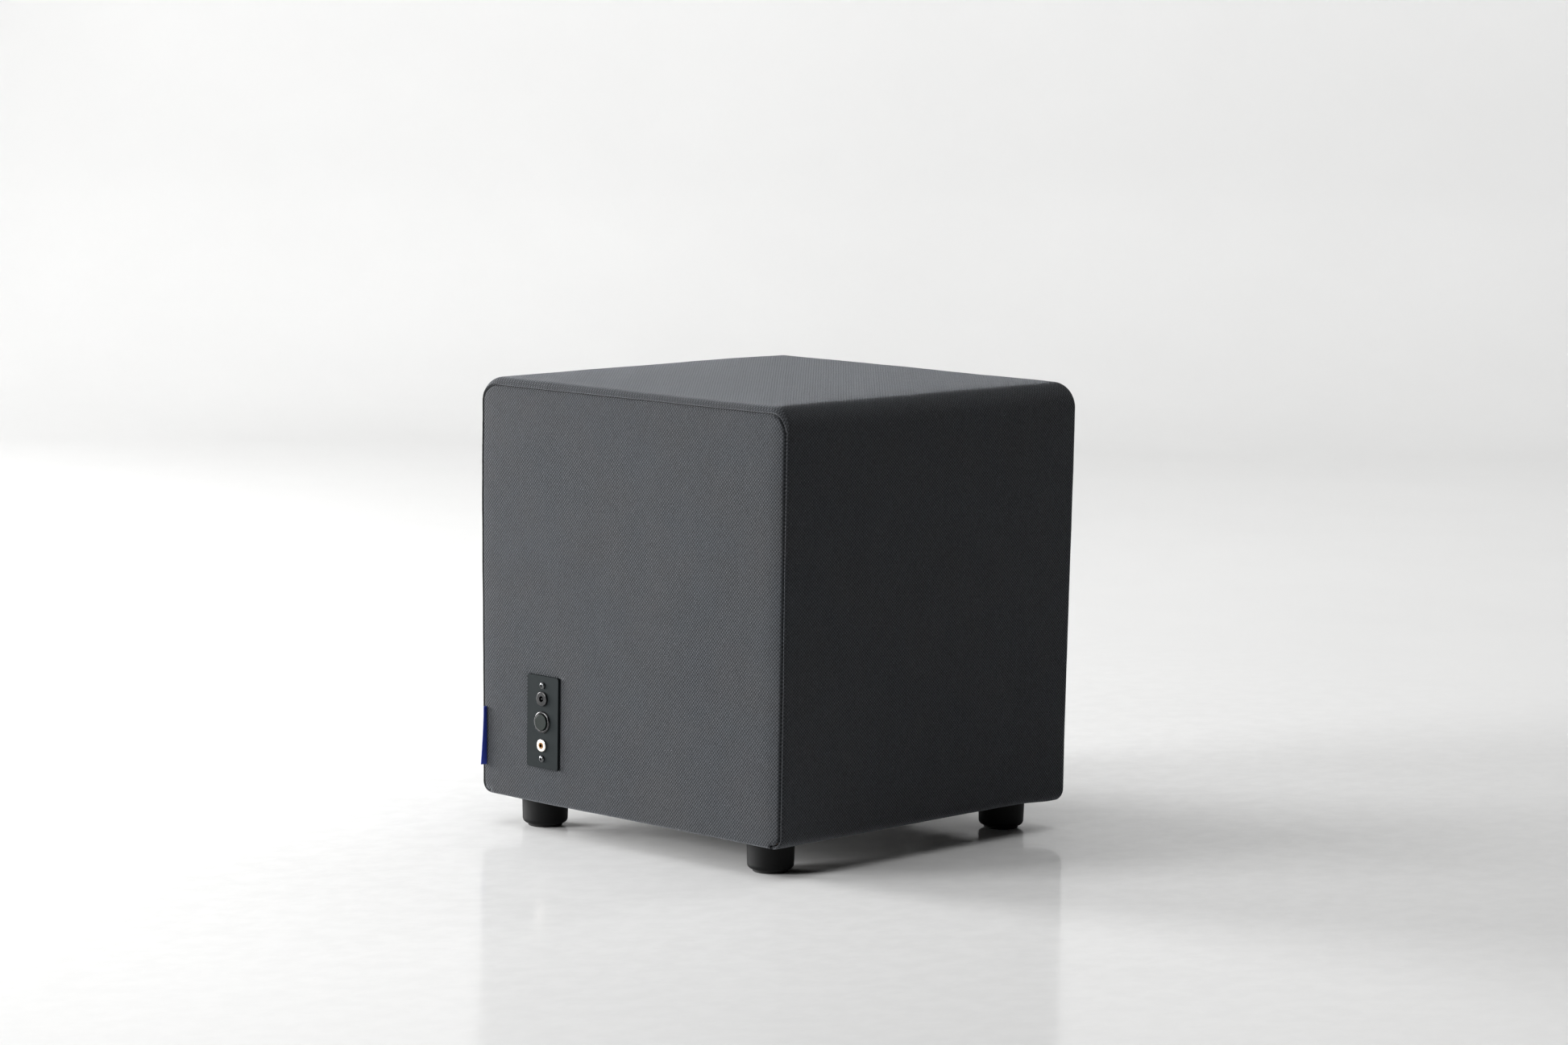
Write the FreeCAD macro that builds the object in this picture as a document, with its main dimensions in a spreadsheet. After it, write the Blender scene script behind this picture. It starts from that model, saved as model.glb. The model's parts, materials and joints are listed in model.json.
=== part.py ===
"""A down-firing powered subwoofer: a fabric-covered cube on four feet.

Frame: the origin is on the floor under the middle of the cube, +Z is up and
-Y is the side with the control plate. Every length is in millimetres.
"""
import FreeCAD, Part
import math
import os
import re
import Sketcher

SIZES = {
    # Outside of the cube and its layers, from the outside in.
    "width": 400, "depth": 400, "body_height": 404, "floor_gap": 31,
    "cloth": 1, "side_foam": 4, "top_foam": 9, "foam_trim": 8,
    "top_corner": 20, "bottom_corner": 10, "seam_round": 4, "turned_edge": 15,
    # Wooden box.
    "panel": 15, "baffle": 18, "roundover": 6,
    "brace_low": 230, "brace_border": 30, "brace_rib": 20,
    # Feet, as a quarter of the base each.
    "foot_inset_side": 48.5, "foot_inset_front": 38.5, "foot_radius": 22.6,
    "foot_bottom_radius": 21.8, "foot_edge": 5, "foot_lift": 2.5,
    "pad_radius": 16.6, "pad_height": 4, "bolt_radius": 4, "bolt_head_radius": 6.5,
    "bolt_head_low": 6, "bolt_head_height": 6, "nut_barrel_radius": 5.5,
    "nut_flange_radius": 11, "nut_flange": 1.5,
    # Control plate and the cup behind it.
    "plate_centre_x": 112, "plate_centre_z": 110, "plate_width": 42.4,
    "plate_height": 88.8, "plate_thick": 3.6, "plate_corner": 2.5,
    "plate_screw_offset": 35.3, "socket_offset": 22.5,
    "gasket_margin": 0.7, "cup_width": 34, "cup_height": 62, "cup_wall": 1.6,
    "cup_depth": 50, "slip": 0.1, "screw_head_radius": 3.25, "screw_head": 2,
    "screw_shank_radius": 1.7, "screw_length": 18,
    # Power inlet.
    "inlet_flange_radius": 7, "inlet_flange": 2, "inlet_barrel_radius": 5.5,
    "inlet_bore": 2.85, "inlet_bore_depth": 10, "inlet_pin_radius": 1.05,
    "inlet_pin_length": 9.2, "inlet_pin_root": 1.6, "inlet_nut_radius": 6.8, "inlet_nut": 3,
    "rear_reach": 17.6,
    # Push button.
    "bezel_radius": 10.6, "bezel_lip": 1.6, "bezel_barrel_radius": 9,
    "bezel_bore": 7.9, "bezel_floor": 2, "cap_radius": 7.8, "cap_thick": 4,
    "cap_rise": 1.2, "stem_radius": 2, "stem_length": 8.5, "coil_radius": 3.4,
    "coil_wire": 0.35, "coil_turns": 7, "button_nut_radius": 12.5,
    "button_nut": 3.5,
    # Audio socket.
    "jack_bore": 1.8, "jack_bush_radius": 3, "jack_ring_radius": 6.1,
    "jack_ring": 1.8, "jack_block": 11, "jack_bore_depth": 14, "board": 1.6,
    "panel_board_width": 28, "panel_board_height": 54, "harness_radius": 2.5,
    # Woofer, its motor above and its front facing the floor.
    "rebate_radius": 133, "rebate_depth": 8, "cutout_radius": 109,
    "flange_radius": 131, "flange_thick": 4, "flange_low": 34.5,
    "frame_inner_radius": 104, "frame_wall": 3, "shoulder_radius": 91,
    "shoulder_low": 76, "shoulder_thick": 3, "neck_radius": 59,
    "ring_inner_radius": 38, "motor_low": 86, "top_plate": 8,
    "top_plate_radius": 58, "gap_radius": 26.6, "magnet_radius": 60,
    "magnet_bore": 32, "magnet_height": 18, "yoke_radius": 56, "yoke_thick": 6,
    "pole_radius": 24.2, "pole_low": 82, "vent_radius": 6,
    "former_radius": 25, "former_wall": 0.3, "former_low": 66, "former_high": 100,
    "winding": 1, "winding_low": 80, "spider_outer": 74, "spider_thick": 0.8,
    "cone_lip_low": 44, "cone_lip": 1, "cone_edge": 92,
    "cone_bend": 85, "cone_neck_high": 69, "dust_radius": 34, "dust_depth": 9,
    "dust_wall": 0.8, "surround_thick": 1, "roll_radius": 7.5,
    "surround_edge": 117, "gasket_ring_inner": 109.5, "gasket_ring_outer": 130,
    "woofer_screw_circle": 124, "woofer_screw_radius": 2, "woofer_screw_head": 4,
    "woofer_screw_length": 13, "woofer_screws": 8,
    # Grille under the woofer.
    "grille_rim": 146, "grille_bend": 137, "grille_face": 129, "grille_thick": 1,
    "grille_drop": 9, "grille_hole": 5.5, "grille_pitch": 19.5,
    "grille_screw_circle": 141.5, "grille_screw_radius": 1.5, "grille_screws": 4,
    # Amplifier inside, on the left panel.
    "amp_low": 262, "amp_height": 120, "amp_front": 110, "amp_length": 140,
    "standoff": 8, "standoff_radius": 3.5, "standoff_inset": 8,
    "sink_length": 70, "sink_height": 34, "sink_reach": 26, "fin": 2,
    "capacitor_radius": 11, "capacitor_length": 34,
    "choke_radius": 10, "choke_wire": 4.5, "lead_radius": 2, "lead_bend": 12,
    # Sewn-in label and the staples of the bottom cloth.
    "label_low": 58, "label_height": 57, "label_reach": 5.6, "ribbon": 0.5,
    "label_gap": 0.8, "staple_width": 10, "staple_wire": 0.6, "staple_leg": 8,
    "staple_pitch": 75,
}

doc = FreeCAD.newDocument("Subwoofer")
sheet = doc.addObject("Spreadsheet::Sheet", "Sizes")
for row, (alias, size) in enumerate(SIZES.items(), start=1):
    sheet.set("A%d" % row, alias)
    sheet.set("B%d" % row, str(size))
    sheet.setAlias("B%d" % row, alias)
doc.recompute()

FEATURES = []
NAME = re.compile(r"\b(?!sqrt\b)[a-z]\w*")


def value(expression):
    """Return what an expression over the sheet's names comes to."""
    return float(sheet.evalExpression(str(expression)))


def linked(expression):
    """Write an expression so that a feature reads it from the sheet."""
    return NAME.sub(lambda found: "Sizes." + found.group(0), str(expression))


def bind(feature, **expressions):
    for prop, expression in expressions.items():
        feature.setExpression(prop.replace("__", "."), linked(expression))


def place(feature, x=0, y=0, z=0, turn=None):
    """Put a feature at a bound position, turned about the X axis if asked."""
    if turn is not None:
        feature.Placement.Rotation = FreeCAD.Rotation(FreeCAD.Vector(1, 0, 0), turn)
    bind(feature, Placement__Base__x=x, Placement__Base__y=y, Placement__Base__z=z)


def finish(feature, label):
    """Label a finished sub-part and put it on the export list."""
    feature.Label = label
    FEATURES.append(feature)
    return feature


def add_body(name):
    body = doc.addObject("PartDesign::Body", name)
    body.AllowCompound = True
    return body


def origin_plane(body, role):
    return next(item for item in body.Origin.OriginFeatures if item.Role == role)


def add_sketch(body, role, level=0):
    """Add a sketch parallel to one of the body's own origin planes."""
    name = "%sSketch" % body.Name
    sketch = body.newObject("Sketcher::SketchObject", name)
    sketch.AttachmentSupport = [(origin_plane(body, role), "")]
    sketch.MapMode = "FlatFace"
    bind(sketch, AttachmentOffset__Base__z=level)
    return sketch


def arc_between(start, end, radius):
    """Return an arc and its end numbers; a negative radius bends it inwards."""
    chord = end - start
    sagitta = math.sqrt(max(radius * radius - chord.Length ** 2 / 4, 0))
    side = FreeCAD.Vector(-chord.y, chord.x, 0).normalize()
    centre = (start + end) * 0.5 + side * math.copysign(sagitta, radius)
    first = math.atan2(start.y - centre.y, start.x - centre.x)
    last = math.atan2(end.y - centre.y, end.x - centre.x)
    circle = Part.Circle(centre, FreeCAD.Vector(0, 0, 1), abs(radius))
    if radius > 0:
        return Part.ArcOfCircle(circle, first, last), 1, 2
    return Part.ArcOfCircle(circle, last, first), 2, 1


def draw(sketch, corners):
    """Draw a closed outline whose corners and arc radii come from the sheet.

    A corner is (x, y), or (x, y, radius) when an arc leaves it.
    """
    points = [FreeCAD.Vector(value(c[0]), value(c[1]), 0) for c in corners]
    sides = []
    for index, corner in enumerate(corners):
        start = points[index]
        end = points[(index + 1) % len(corners)]
        if len(corner) > 2:
            shape, first, last = arc_between(start, end, value(corner[2]))
        else:
            shape, first, last = Part.LineSegment(start, end), 1, 2
        sides.append((sketch.addGeometry(shape, False), first, last))
    for index, (side, first, last) in enumerate(sides):
        follower, follower_first, _ = sides[(index + 1) % len(sides)]
        sketch.addConstraint(Sketcher.Constraint("Coincident", side, last, follower, follower_first))
    for index, corner in enumerate(corners):
        side, first, _ = sides[index]
        fix_point(sketch, side, first, corner[0], corner[1])
        if len(corner) > 2:
            radius = str(corner[2]).lstrip("-")
            fix_length(sketch, "Radius", (side,), radius)


def fix_length(sketch, kind, targets, expression):
    number = sketch.addConstraint(Sketcher.Constraint(kind, *targets, value(expression)))
    sketch.setExpression("Constraints[%d]" % number, linked(expression))


def fix_point(sketch, item, end, x, y):
    fix_length(sketch, "DistanceX", (-1, 1, item, end), x)
    fix_length(sketch, "DistanceY", (-1, 1, item, end), y)


def draw_circles(sketch, circles):
    for x, y, radius in circles:
        centre = FreeCAD.Vector(value(x), value(y), 0)
        circle = Part.Circle(centre, FreeCAD.Vector(0, 0, 1), value(radius))
        item = sketch.addGeometry(circle, False)
        fix_point(sketch, item, 3, x, y)
        fix_length(sketch, "Radius", (item,), radius)


def rectangle(low_x, high_x, low_y, high_y):
    return [(low_x, low_y), (high_x, low_y), (high_x, high_y), (low_x, high_y)]


def pad(body, role, level, length, corners=(), circles=()):
    """Extrude an outline from a level, along the sketch plane's normal."""
    sketch = add_sketch(body, role, level)
    if corners:
        draw(sketch, corners)
    draw_circles(sketch, circles)
    feature = body.newObject("PartDesign::Pad", "%sPad" % body.Name)
    feature.Profile = sketch
    bind(feature, Length=length)
    body.Tip = feature
    return feature


def pocket(body, role, level, length, corners=(), circles=()):
    """Cut an outline from a level, against the sketch plane's normal."""
    sketch = add_sketch(body, role, level)
    if corners:
        draw(sketch, corners)
    draw_circles(sketch, circles)
    feature = body.newObject("PartDesign::Pocket", "%sPocket" % body.Name)
    feature.Profile = sketch
    bind(feature, Length=length)
    body.Tip = feature
    return feature


def revolve(body, corners, axis_x=0, level=0):
    """Turn a profile in the XZ plane about an upright axis."""
    sketch = add_sketch(body, "XZ_Plane", level)
    draw(sketch, corners)
    low = FreeCAD.Vector(value(axis_x), 0, 0)
    line = sketch.addGeometry(Part.LineSegment(low, low + FreeCAD.Vector(0, 10, 0)), True)
    fix_point(sketch, line, 1, axis_x, 0)
    fix_point(sketch, line, 2, axis_x, 10)
    feature = body.newObject("PartDesign::Revolution", "%sTurn" % body.Name)
    feature.Profile = sketch
    feature.ReferenceAxis = (sketch, ["Axis0"])
    feature.Angle = 360
    body.Tip = feature
    return feature


def repeat_round(body, feature, count):
    """Repeat a feature about the body's own Z axis."""
    pattern = body.newObject("PartDesign::PolarPattern", "%sRound" % body.Name)
    pattern.Originals = [feature]
    axis = next(item for item in body.Origin.OriginFeatures if item.Role == "Z_Axis")
    pattern.Axis = (axis, [""])
    pattern.Angle = 360
    bind(pattern, Occurrences=count)
    body.Tip = pattern
    return pattern


def repeat_corners(body, feature):
    """Mirror a feature into all four corners of the base."""
    pattern = body.newObject("PartDesign::MultiTransform", "%sCorners" % body.Name)
    pattern.Originals = [feature]
    mirrors = []
    for role in ("YZ_Plane", "XZ_Plane"):
        mirror = body.newObject("PartDesign::Mirrored", "%sMirror" % body.Name)
        mirror.MirrorPlane = (origin_plane(body, role), [""])
        mirrors.append(mirror)
    pattern.Transformations = mirrors
    body.Tip = pattern
    return pattern


def block(label, low_x, high_x, low_y, high_y, low_z, high_z):
    """Make a plain board or box between six bound levels."""
    name = "".join(word.capitalize() for word in label.split("_"))
    box = doc.addObject("Part::Box", name)
    bind(box, Length="(%s) - (%s)" % (high_x, low_x))
    bind(box, Width="(%s) - (%s)" % (high_y, low_y))
    bind(box, Height="(%s) - (%s)" % (high_z, low_z))
    place(box, low_x, low_y, low_z)
    return box


# Levels used by several sub-parts.
HALF_Y = "depth / 2"
WOOD_X = "(width / 2 - cloth - side_foam)"
WOOD_Y = "(depth / 2 - cloth - side_foam)"
WOOD_LOW = "(floor_gap + cloth)"
WOOD_HIGH = "(floor_gap + body_height - cloth - top_foam)"
ROOM_X = "(width / 2 - cloth - side_foam - panel)"
ROOM_Y = "(depth / 2 - cloth - side_foam - panel)"
ROOM_LOW = "(floor_gap + cloth + baffle)"
ROOM_HIGH = "(floor_gap + body_height - cloth - top_foam - panel)"
FOOT_X = "(width / 2 - foot_inset_side)"
FOOT_Y = "(depth / 2 - foot_inset_front)"


def negative(expression):
    return "-(%s)" % expression


# Wooden box.

def make_base_baffle():
    """Base board with the woofer's rebate and hole and the feet's nut holes."""
    body = add_body("BaseBaffle")
    long_low = "%s - roundover" % WOOD_X
    round_high = "%s + roundover" % WOOD_LOW
    outline = [
        (negative(long_low), WOOD_LOW), (long_low, WOOD_LOW, "roundover"),
        (WOOD_X, round_high), (WOOD_X, ROOM_LOW),
        (negative(WOOD_X), ROOM_LOW), (negative(WOOD_X), round_high, "roundover"),
    ]
    pad(body, "XZ_Plane", negative(WOOD_Y), "2 * %s" % WOOD_Y, outline)
    pocket(body, "XY_Plane", ROOM_LOW, "baffle", circles=[(0, 0, "cutout_radius")])
    pocket(body, "XY_Plane", "%s + rebate_depth" % WOOD_LOW, "rebate_depth",
           circles=[(0, 0, "rebate_radius")])
    hole = pocket(body, "XY_Plane", ROOM_LOW, "baffle",
                  circles=[(FOOT_X, FOOT_Y, "nut_barrel_radius")])
    repeat_corners(body, hole)
    pilot = pocket(body, "XY_Plane", "flange_low + woofer_screw_length", "woofer_screw_length",
                   circles=[("woofer_screw_circle", 0, "woofer_screw_radius")])
    repeat_round(body, pilot, "woofer_screws")
    pilot = pocket(body, "XY_Plane", "floor_gap + 10", 10,
                   circles=[("grille_screw_circle", 0, "grille_screw_radius")])
    repeat_round(body, pilot, "grille_screws")
    finish(body, "base_baffle")


def make_cabinet_sides():
    sides = (("cabinet_left", negative(WOOD_X), negative(ROOM_X)),
             ("cabinet_right", ROOM_X, WOOD_X))
    for label, low_x, high_x in sides:
        board = block(label, low_x, high_x, negative(WOOD_Y), WOOD_Y, ROOM_LOW, ROOM_HIGH)
        finish(board, label)


def make_cabinet_rear():
    board = block("cabinet_rear", negative(ROOM_X), ROOM_X, ROOM_Y, WOOD_Y, ROOM_LOW, ROOM_HIGH)
    finish(board, "cabinet_rear")


def make_cabinet_top():
    board = block("cabinet_top", negative(WOOD_X), WOOD_X, negative(WOOD_Y), WOOD_Y,
                  ROOM_HIGH, WOOD_HIGH)
    finish(board, "cabinet_top")


def plate_rectangle(half_width, half_height):
    """Outline of a rectangle round the middle of the control plate."""
    return rectangle(
        "-(plate_centre_x) - (%s)" % half_width, "-(plate_centre_x) + (%s)" % half_width,
        "plate_centre_z - (%s)" % half_height, "plate_centre_z + (%s)" % half_height)


def plate_screw_circles(radius):
    return [("-plate_centre_x", "plate_centre_z + plate_screw_offset", radius),
            ("-plate_centre_x", "plate_centre_z - plate_screw_offset", radius)]


def make_cabinet_front():
    """Front board with the cup's opening and the plate's screw holes."""
    body = add_body("CabinetFront")
    pad(body, "XZ_Plane", ROOM_Y, "panel",
        rectangle(negative(ROOM_X), ROOM_X, ROOM_LOW, ROOM_HIGH))
    pocket(body, "XZ_Plane", WOOD_Y, "panel",
           plate_rectangle("cup_width / 2 + slip", "cup_height / 2 + slip"))
    pocket(body, "XZ_Plane", WOOD_Y, "screw_length - plate_thick - cloth - side_foam",
           circles=plate_screw_circles("screw_shank_radius"))
    finish(body, "cabinet_front")


def make_window_brace():
    """Level brace across the box with four windows for the air."""
    body = add_body("WindowBrace")
    pad(body, "XY_Plane", "brace_low", "panel",
        rectangle(negative(ROOM_X), ROOM_X, negative(ROOM_Y), ROOM_Y))
    window = pocket(body, "XY_Plane", "brace_low + panel", "panel",
                    rectangle("brace_rib", "%s - brace_border" % ROOM_X,
                              "brace_rib", "%s - brace_border" % ROOM_Y))
    repeat_corners(body, window)
    finish(body, "window_brace")


# Foam and fabric.

FOAM_ARC = "(top_corner - cloth)"
FOAM_ARC_X = "(width / 2 - top_corner)"
FOAM_ARC_Z = "(floor_gap + body_height - top_corner)"
FOAM_SHOULDER = "(%s + sqrt(%s ^ 2 - (%s - %s) ^ 2))" % (FOAM_ARC_X, FOAM_ARC, WOOD_HIGH, FOAM_ARC_Z)
FOAM_OUT_X = "(width / 2 - cloth)"
FOAM_LOW = "(floor_gap + bottom_corner + cloth)"


def make_foam_flat(label, level):
    """Foam sheet on the front or rear, its top corners trimmed off."""
    body = add_body("".join(word.capitalize() for word in label.split("_")))
    trimmed_x = "(%s - foam_trim)" % WOOD_X
    trimmed_z = "(%s - foam_trim)" % WOOD_HIGH
    outline = [
        (negative(WOOD_X), FOAM_LOW), (WOOD_X, FOAM_LOW), (WOOD_X, trimmed_z),
        (trimmed_x, WOOD_HIGH), (negative(trimmed_x), WOOD_HIGH), (negative(WOOD_X), trimmed_z),
    ]
    pad(body, "XZ_Plane", level, "side_foam", outline)
    return body


def make_foam_front_and_rear():
    front = make_foam_flat("foam_front", WOOD_Y)
    pocket(front, "XZ_Plane", "depth / 2 - cloth", "side_foam",
           plate_rectangle("plate_width / 2 - gasket_margin", "plate_height / 2 - gasket_margin"))
    finish(front, "foam_front")
    rear = make_foam_flat("foam_rear", "-(depth / 2 - cloth)")
    finish(rear, "foam_rear")


def make_foam_left_and_right():
    right = [
        (WOOD_X, FOAM_LOW), (FOAM_OUT_X, FOAM_LOW), (FOAM_OUT_X, FOAM_ARC_Z, FOAM_ARC),
        (FOAM_SHOULDER, WOOD_HIGH), (WOOD_X, WOOD_HIGH),
    ]
    left = [
        (negative(WOOD_X), WOOD_HIGH), (negative(FOAM_SHOULDER), WOOD_HIGH, FOAM_ARC),
        (negative(FOAM_OUT_X), FOAM_ARC_Z), (negative(FOAM_OUT_X), FOAM_LOW),
        (negative(WOOD_X), FOAM_LOW),
    ]
    for label, outline in (("foam_right", right), ("foam_left", left)):
        body = add_body("".join(word.capitalize() for word in label.split("_")))
        pad(body, "XZ_Plane", negative(WOOD_Y), "2 * %s" % WOOD_Y, outline)
        finish(body, label)


def make_foam_top():
    body = add_body("FoamTop")
    high = "(floor_gap + body_height - cloth)"
    outline = [
        (negative(FOAM_SHOULDER), WOOD_HIGH), (FOAM_SHOULDER, WOOD_HIGH, FOAM_ARC),
        (FOAM_ARC_X, high), (negative(FOAM_ARC_X), high, FOAM_ARC),
    ]
    pad(body, "XZ_Plane", negative(WOOD_Y), "2 * %s" % WOOD_Y, outline)
    finish(body, "foam_top")


def cube_outline(inset):
    """Front view of the cube: a rounded square, brought in by an inset."""
    side = "(width / 2 - (%s))" % inset
    low = "(floor_gap + (%s))" % inset
    high = "(floor_gap + body_height - (%s))" % inset
    upper = "(top_corner - (%s))" % inset
    lower = "(bottom_corner - (%s))" % inset
    return [
        ("-(%s - %s)" % (side, lower), low), ("%s - %s" % (side, lower), low, lower),
        (side, "%s + %s" % (low, lower)), (side, "%s - %s" % (high, upper), upper),
        ("%s - %s" % (side, upper), high), ("-(%s - %s)" % (side, upper), high, upper),
        ("-%s" % side, "%s - %s" % (high, upper)), ("-%s" % side, "%s + %s" % (low, lower), lower),
    ]


def make_rounded_cube(name, inset):
    """Solid cube whose front and rear outlines are rounded over."""
    body = add_body(name)
    half = "(depth / 2 - (%s))" % inset
    solid = pad(body, "XZ_Plane", negative(half), "2 * %s" % half, cube_outline(inset))
    doc.recompute()
    flat = [
        "Edge%d" % number for number, edge in enumerate(solid.Shape.Edges, start=1)
        if edge.BoundBox.YLength < 0.01
    ]
    fillet = body.newObject("PartDesign::Fillet", "%sRound" % name)
    fillet.Base = (solid, flat)
    bind(fillet, Radius="seam_round - (%s)" % inset)
    body.Tip = fillet
    return body


def make_cover_band():
    """Fabric band over the left, top and right, turned in under the base."""
    outer = make_rounded_cube("BandOuter", 0)
    inner = make_rounded_cube("BandInner", "cloth")
    ends = add_body("BandEnds")
    pad(ends, "XZ_Plane", "-(depth)", "2 * depth", cube_outline("seam_round"))
    under = block("band_under", "turned_edge - width / 2", "width / 2 - turned_edge",
                  "turned_edge - depth / 2", "depth / 2 - turned_edge",
                  "floor_gap - 1", "floor_gap + cloth + 1")
    tools = doc.addObject("Part::MultiFuse", "BandInside")
    tools.Shapes = [inner, ends, under]
    band = doc.addObject("Part::Cut", "CoverBand")
    band.Base = outer
    band.Tool = tools
    finish(band, "cover_band")


def make_cover_panels():
    """Flat fabric panels at the front and rear, sewn into the band."""
    front = add_body("CoverFrontPanel")
    pad(front, "XZ_Plane", "depth / 2 - cloth", "cloth", cube_outline("seam_round"))
    pocket(front, "XZ_Plane", "depth / 2", "cloth",
           plate_rectangle("plate_width / 2 - gasket_margin", "plate_height / 2 - gasket_margin"))
    finish(front, "cover_front_panel")
    rear = add_body("CoverRearPanel")
    pad(rear, "XZ_Plane", "-(depth / 2)", "cloth", cube_outline("seam_round"))
    finish(rear, "cover_rear_panel")


def make_bottom_cloth():
    """Dust cloth under the base, open for the woofer and the foot bolts."""
    body = add_body("BottomCloth")
    side_x = "(width / 2 - turned_edge)"
    side_y = "(depth / 2 - turned_edge)"
    pad(body, "XY_Plane", "floor_gap", "cloth",
        rectangle(negative(side_x), side_x, negative(side_y), side_y))
    pocket(body, "XY_Plane", "floor_gap + cloth", "cloth", circles=[(0, 0, "rebate_radius")])
    hole = pocket(body, "XY_Plane", "floor_gap + cloth", "cloth",
                  circles=[(FOOT_X, FOOT_Y, "bolt_radius")])
    repeat_corners(body, hole)
    hole = pocket(body, "XY_Plane", "floor_gap + cloth", "cloth",
                  circles=[("grille_screw_circle", 0, "grille_screw_radius")])
    repeat_round(body, hole, "grille_screws")
    finish(body, "bottom_cloth")


def make_side_label():
    """Folded ribbon sewn into the left front seam, standing out of it."""
    body = add_body("SideLabel")
    middle = "(width / 2 - seam_round - ribbon - label_gap / 2)"
    loop = "(label_gap / 2 + ribbon)"
    inside = "(label_gap / 2)"
    root = "-(depth / 2)"
    bend = "-(depth / 2 + label_reach - label_gap / 2 - ribbon)"
    outline = [
        ("-(%s + %s)" % (middle, loop), root), ("-(%s + %s)" % (middle, loop), bend, loop),
        ("-%s" % middle, "%s - %s" % (bend, loop), loop), ("-(%s - %s)" % (middle, loop), bend),
        ("-(%s - %s)" % (middle, loop), root), ("-(%s - %s)" % (middle, inside), root),
        ("-(%s - %s)" % (middle, inside), bend, "-" + inside),
        ("-%s" % middle, "%s - %s" % (bend, inside), "-" + inside),
        ("-(%s + %s)" % (middle, inside), bend), ("-(%s + %s)" % (middle, inside), root),
    ]
    pad(body, "XY_Plane", "label_low", "label_height", outline)
    finish(body, "side_label")


def make_staples():
    """Wire staples that hold the bottom cloth, their legs in the wood."""
    wire = value("staple_wire")
    wide = value("staple_width")
    leg = value("staple_leg") + wire
    under = value("floor_gap") - wire
    edge_x = value("width / 2 - turned_edge") - 4
    edge_y = value("depth / 2 - turned_edge") - 4
    pitch = value("staple_pitch")
    crown = Part.makeBox(wide, wire, wire, FreeCAD.Vector(-wide / 2, -wire / 2, 0))
    left = Part.makeBox(wire, wire, leg, FreeCAD.Vector(-wide / 2, -wire / 2, 0))
    right = Part.makeBox(wire, wire, leg, FreeCAD.Vector(wide / 2 - wire, -wire / 2, 0))
    staple = crown.fuse([left, right]).removeSplitter()
    shapes = []
    for step in (-1, 0, 1):
        for side in (-1, 1):
            along_x = staple.copy()
            along_x.translate(FreeCAD.Vector(step * pitch, side * edge_y, under))
            along_y = staple.copy()
            along_y.rotate(FreeCAD.Vector(0, 0, 0), FreeCAD.Vector(0, 0, 1), 90)
            along_y.translate(FreeCAD.Vector(side * edge_x, step * pitch, under))
            shapes += [along_x, along_y]
    group = doc.addObject("Part::Feature", "Staples")
    group.Shape = Part.makeCompound(shapes)
    finish(group, "staples")


# Feet.

def make_feet():
    """Four plastic feet, hollowed for a glide pad and a bolt."""
    seat = "(pad_height - foot_lift)"
    hang = "(bolt_head_low + bolt_head_height)"
    profile = [
        ("pad_radius", "foot_lift"), ("foot_bottom_radius - foot_edge", "foot_lift", "foot_edge"),
        ("foot_bottom_radius", "foot_lift + foot_edge"), ("foot_radius", "floor_gap"),
        ("bolt_radius", "floor_gap"), ("bolt_radius", hang), ("bolt_head_radius", hang),
        ("bolt_head_radius", "pad_height"), ("pad_radius", "pad_height"),
    ]
    spots = (("foot_front_left", -1, -1), ("foot_front_right", 1, -1),
             ("foot_rear_left", -1, 1), ("foot_rear_right", 1, 1))
    for label, side_x, side_y in spots:
        body = add_body("".join(word.capitalize() for word in label.split("_")))
        revolve(body, profile)
        place(body, "%d * %s" % (side_x, FOOT_X), "%d * %s" % (side_y, FOOT_Y))
        finish(body, label)


def make_corner_group(name, label, profile):
    """Turned piece repeated at the four feet."""
    body = add_body(name)
    piece = revolve(body, profile, axis_x=FOOT_X, level=FOOT_Y)
    repeat_corners(body, piece)
    finish(body, label)


def offset_profile(axis_x, profile):
    """Move a profile of (radius, height, arc) corners out to an axis."""
    return [("%s + (%s)" % (axis_x, c[0]),) + tuple(c[1:]) for c in profile]


def make_foot_pads():
    profile = [(0, 0), ("pad_radius - 1", 0, 1), ("pad_radius", 1),
               ("pad_radius", "pad_height"), (0, "pad_height")]
    make_corner_group("FootPads", "foot_pads", offset_profile(FOOT_X, profile))


def make_foot_bolts():
    hang = "(bolt_head_low + bolt_head_height)"
    profile = [
        (3, "bolt_head_low"), ("bolt_head_radius", "bolt_head_low"),
        ("bolt_head_radius", hang), ("bolt_radius", hang), ("bolt_radius", ROOM_LOW),
        (0, ROOM_LOW), (0, "bolt_head_low + 3"), (3, "bolt_head_low + 3"),
    ]
    make_corner_group("FootBolts", "foot_bolts", offset_profile(FOOT_X, profile))


def make_foot_nuts():
    high = "(%s + nut_flange)" % ROOM_LOW
    profile = [
        ("bolt_radius", WOOD_LOW), ("nut_barrel_radius", WOOD_LOW),
        ("nut_barrel_radius", ROOM_LOW), ("nut_flange_radius", ROOM_LOW),
        ("nut_flange_radius", high), ("bolt_radius", high),
    ]
    make_corner_group("FootTNuts", "foot_t_nuts", offset_profile(FOOT_X, profile))


# Control plate and its fittings. Their own +Z points out of the plate.

PLATE_FACE = "-(depth / 2 + plate_thick)"


def on_plate(body, offset=0):
    """Stand a turned fitting on the plate, a bound distance above its middle."""
    place(body, "-plate_centre_x", PLATE_FACE, "plate_centre_z + (%s)" % offset, turn=90)


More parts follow.
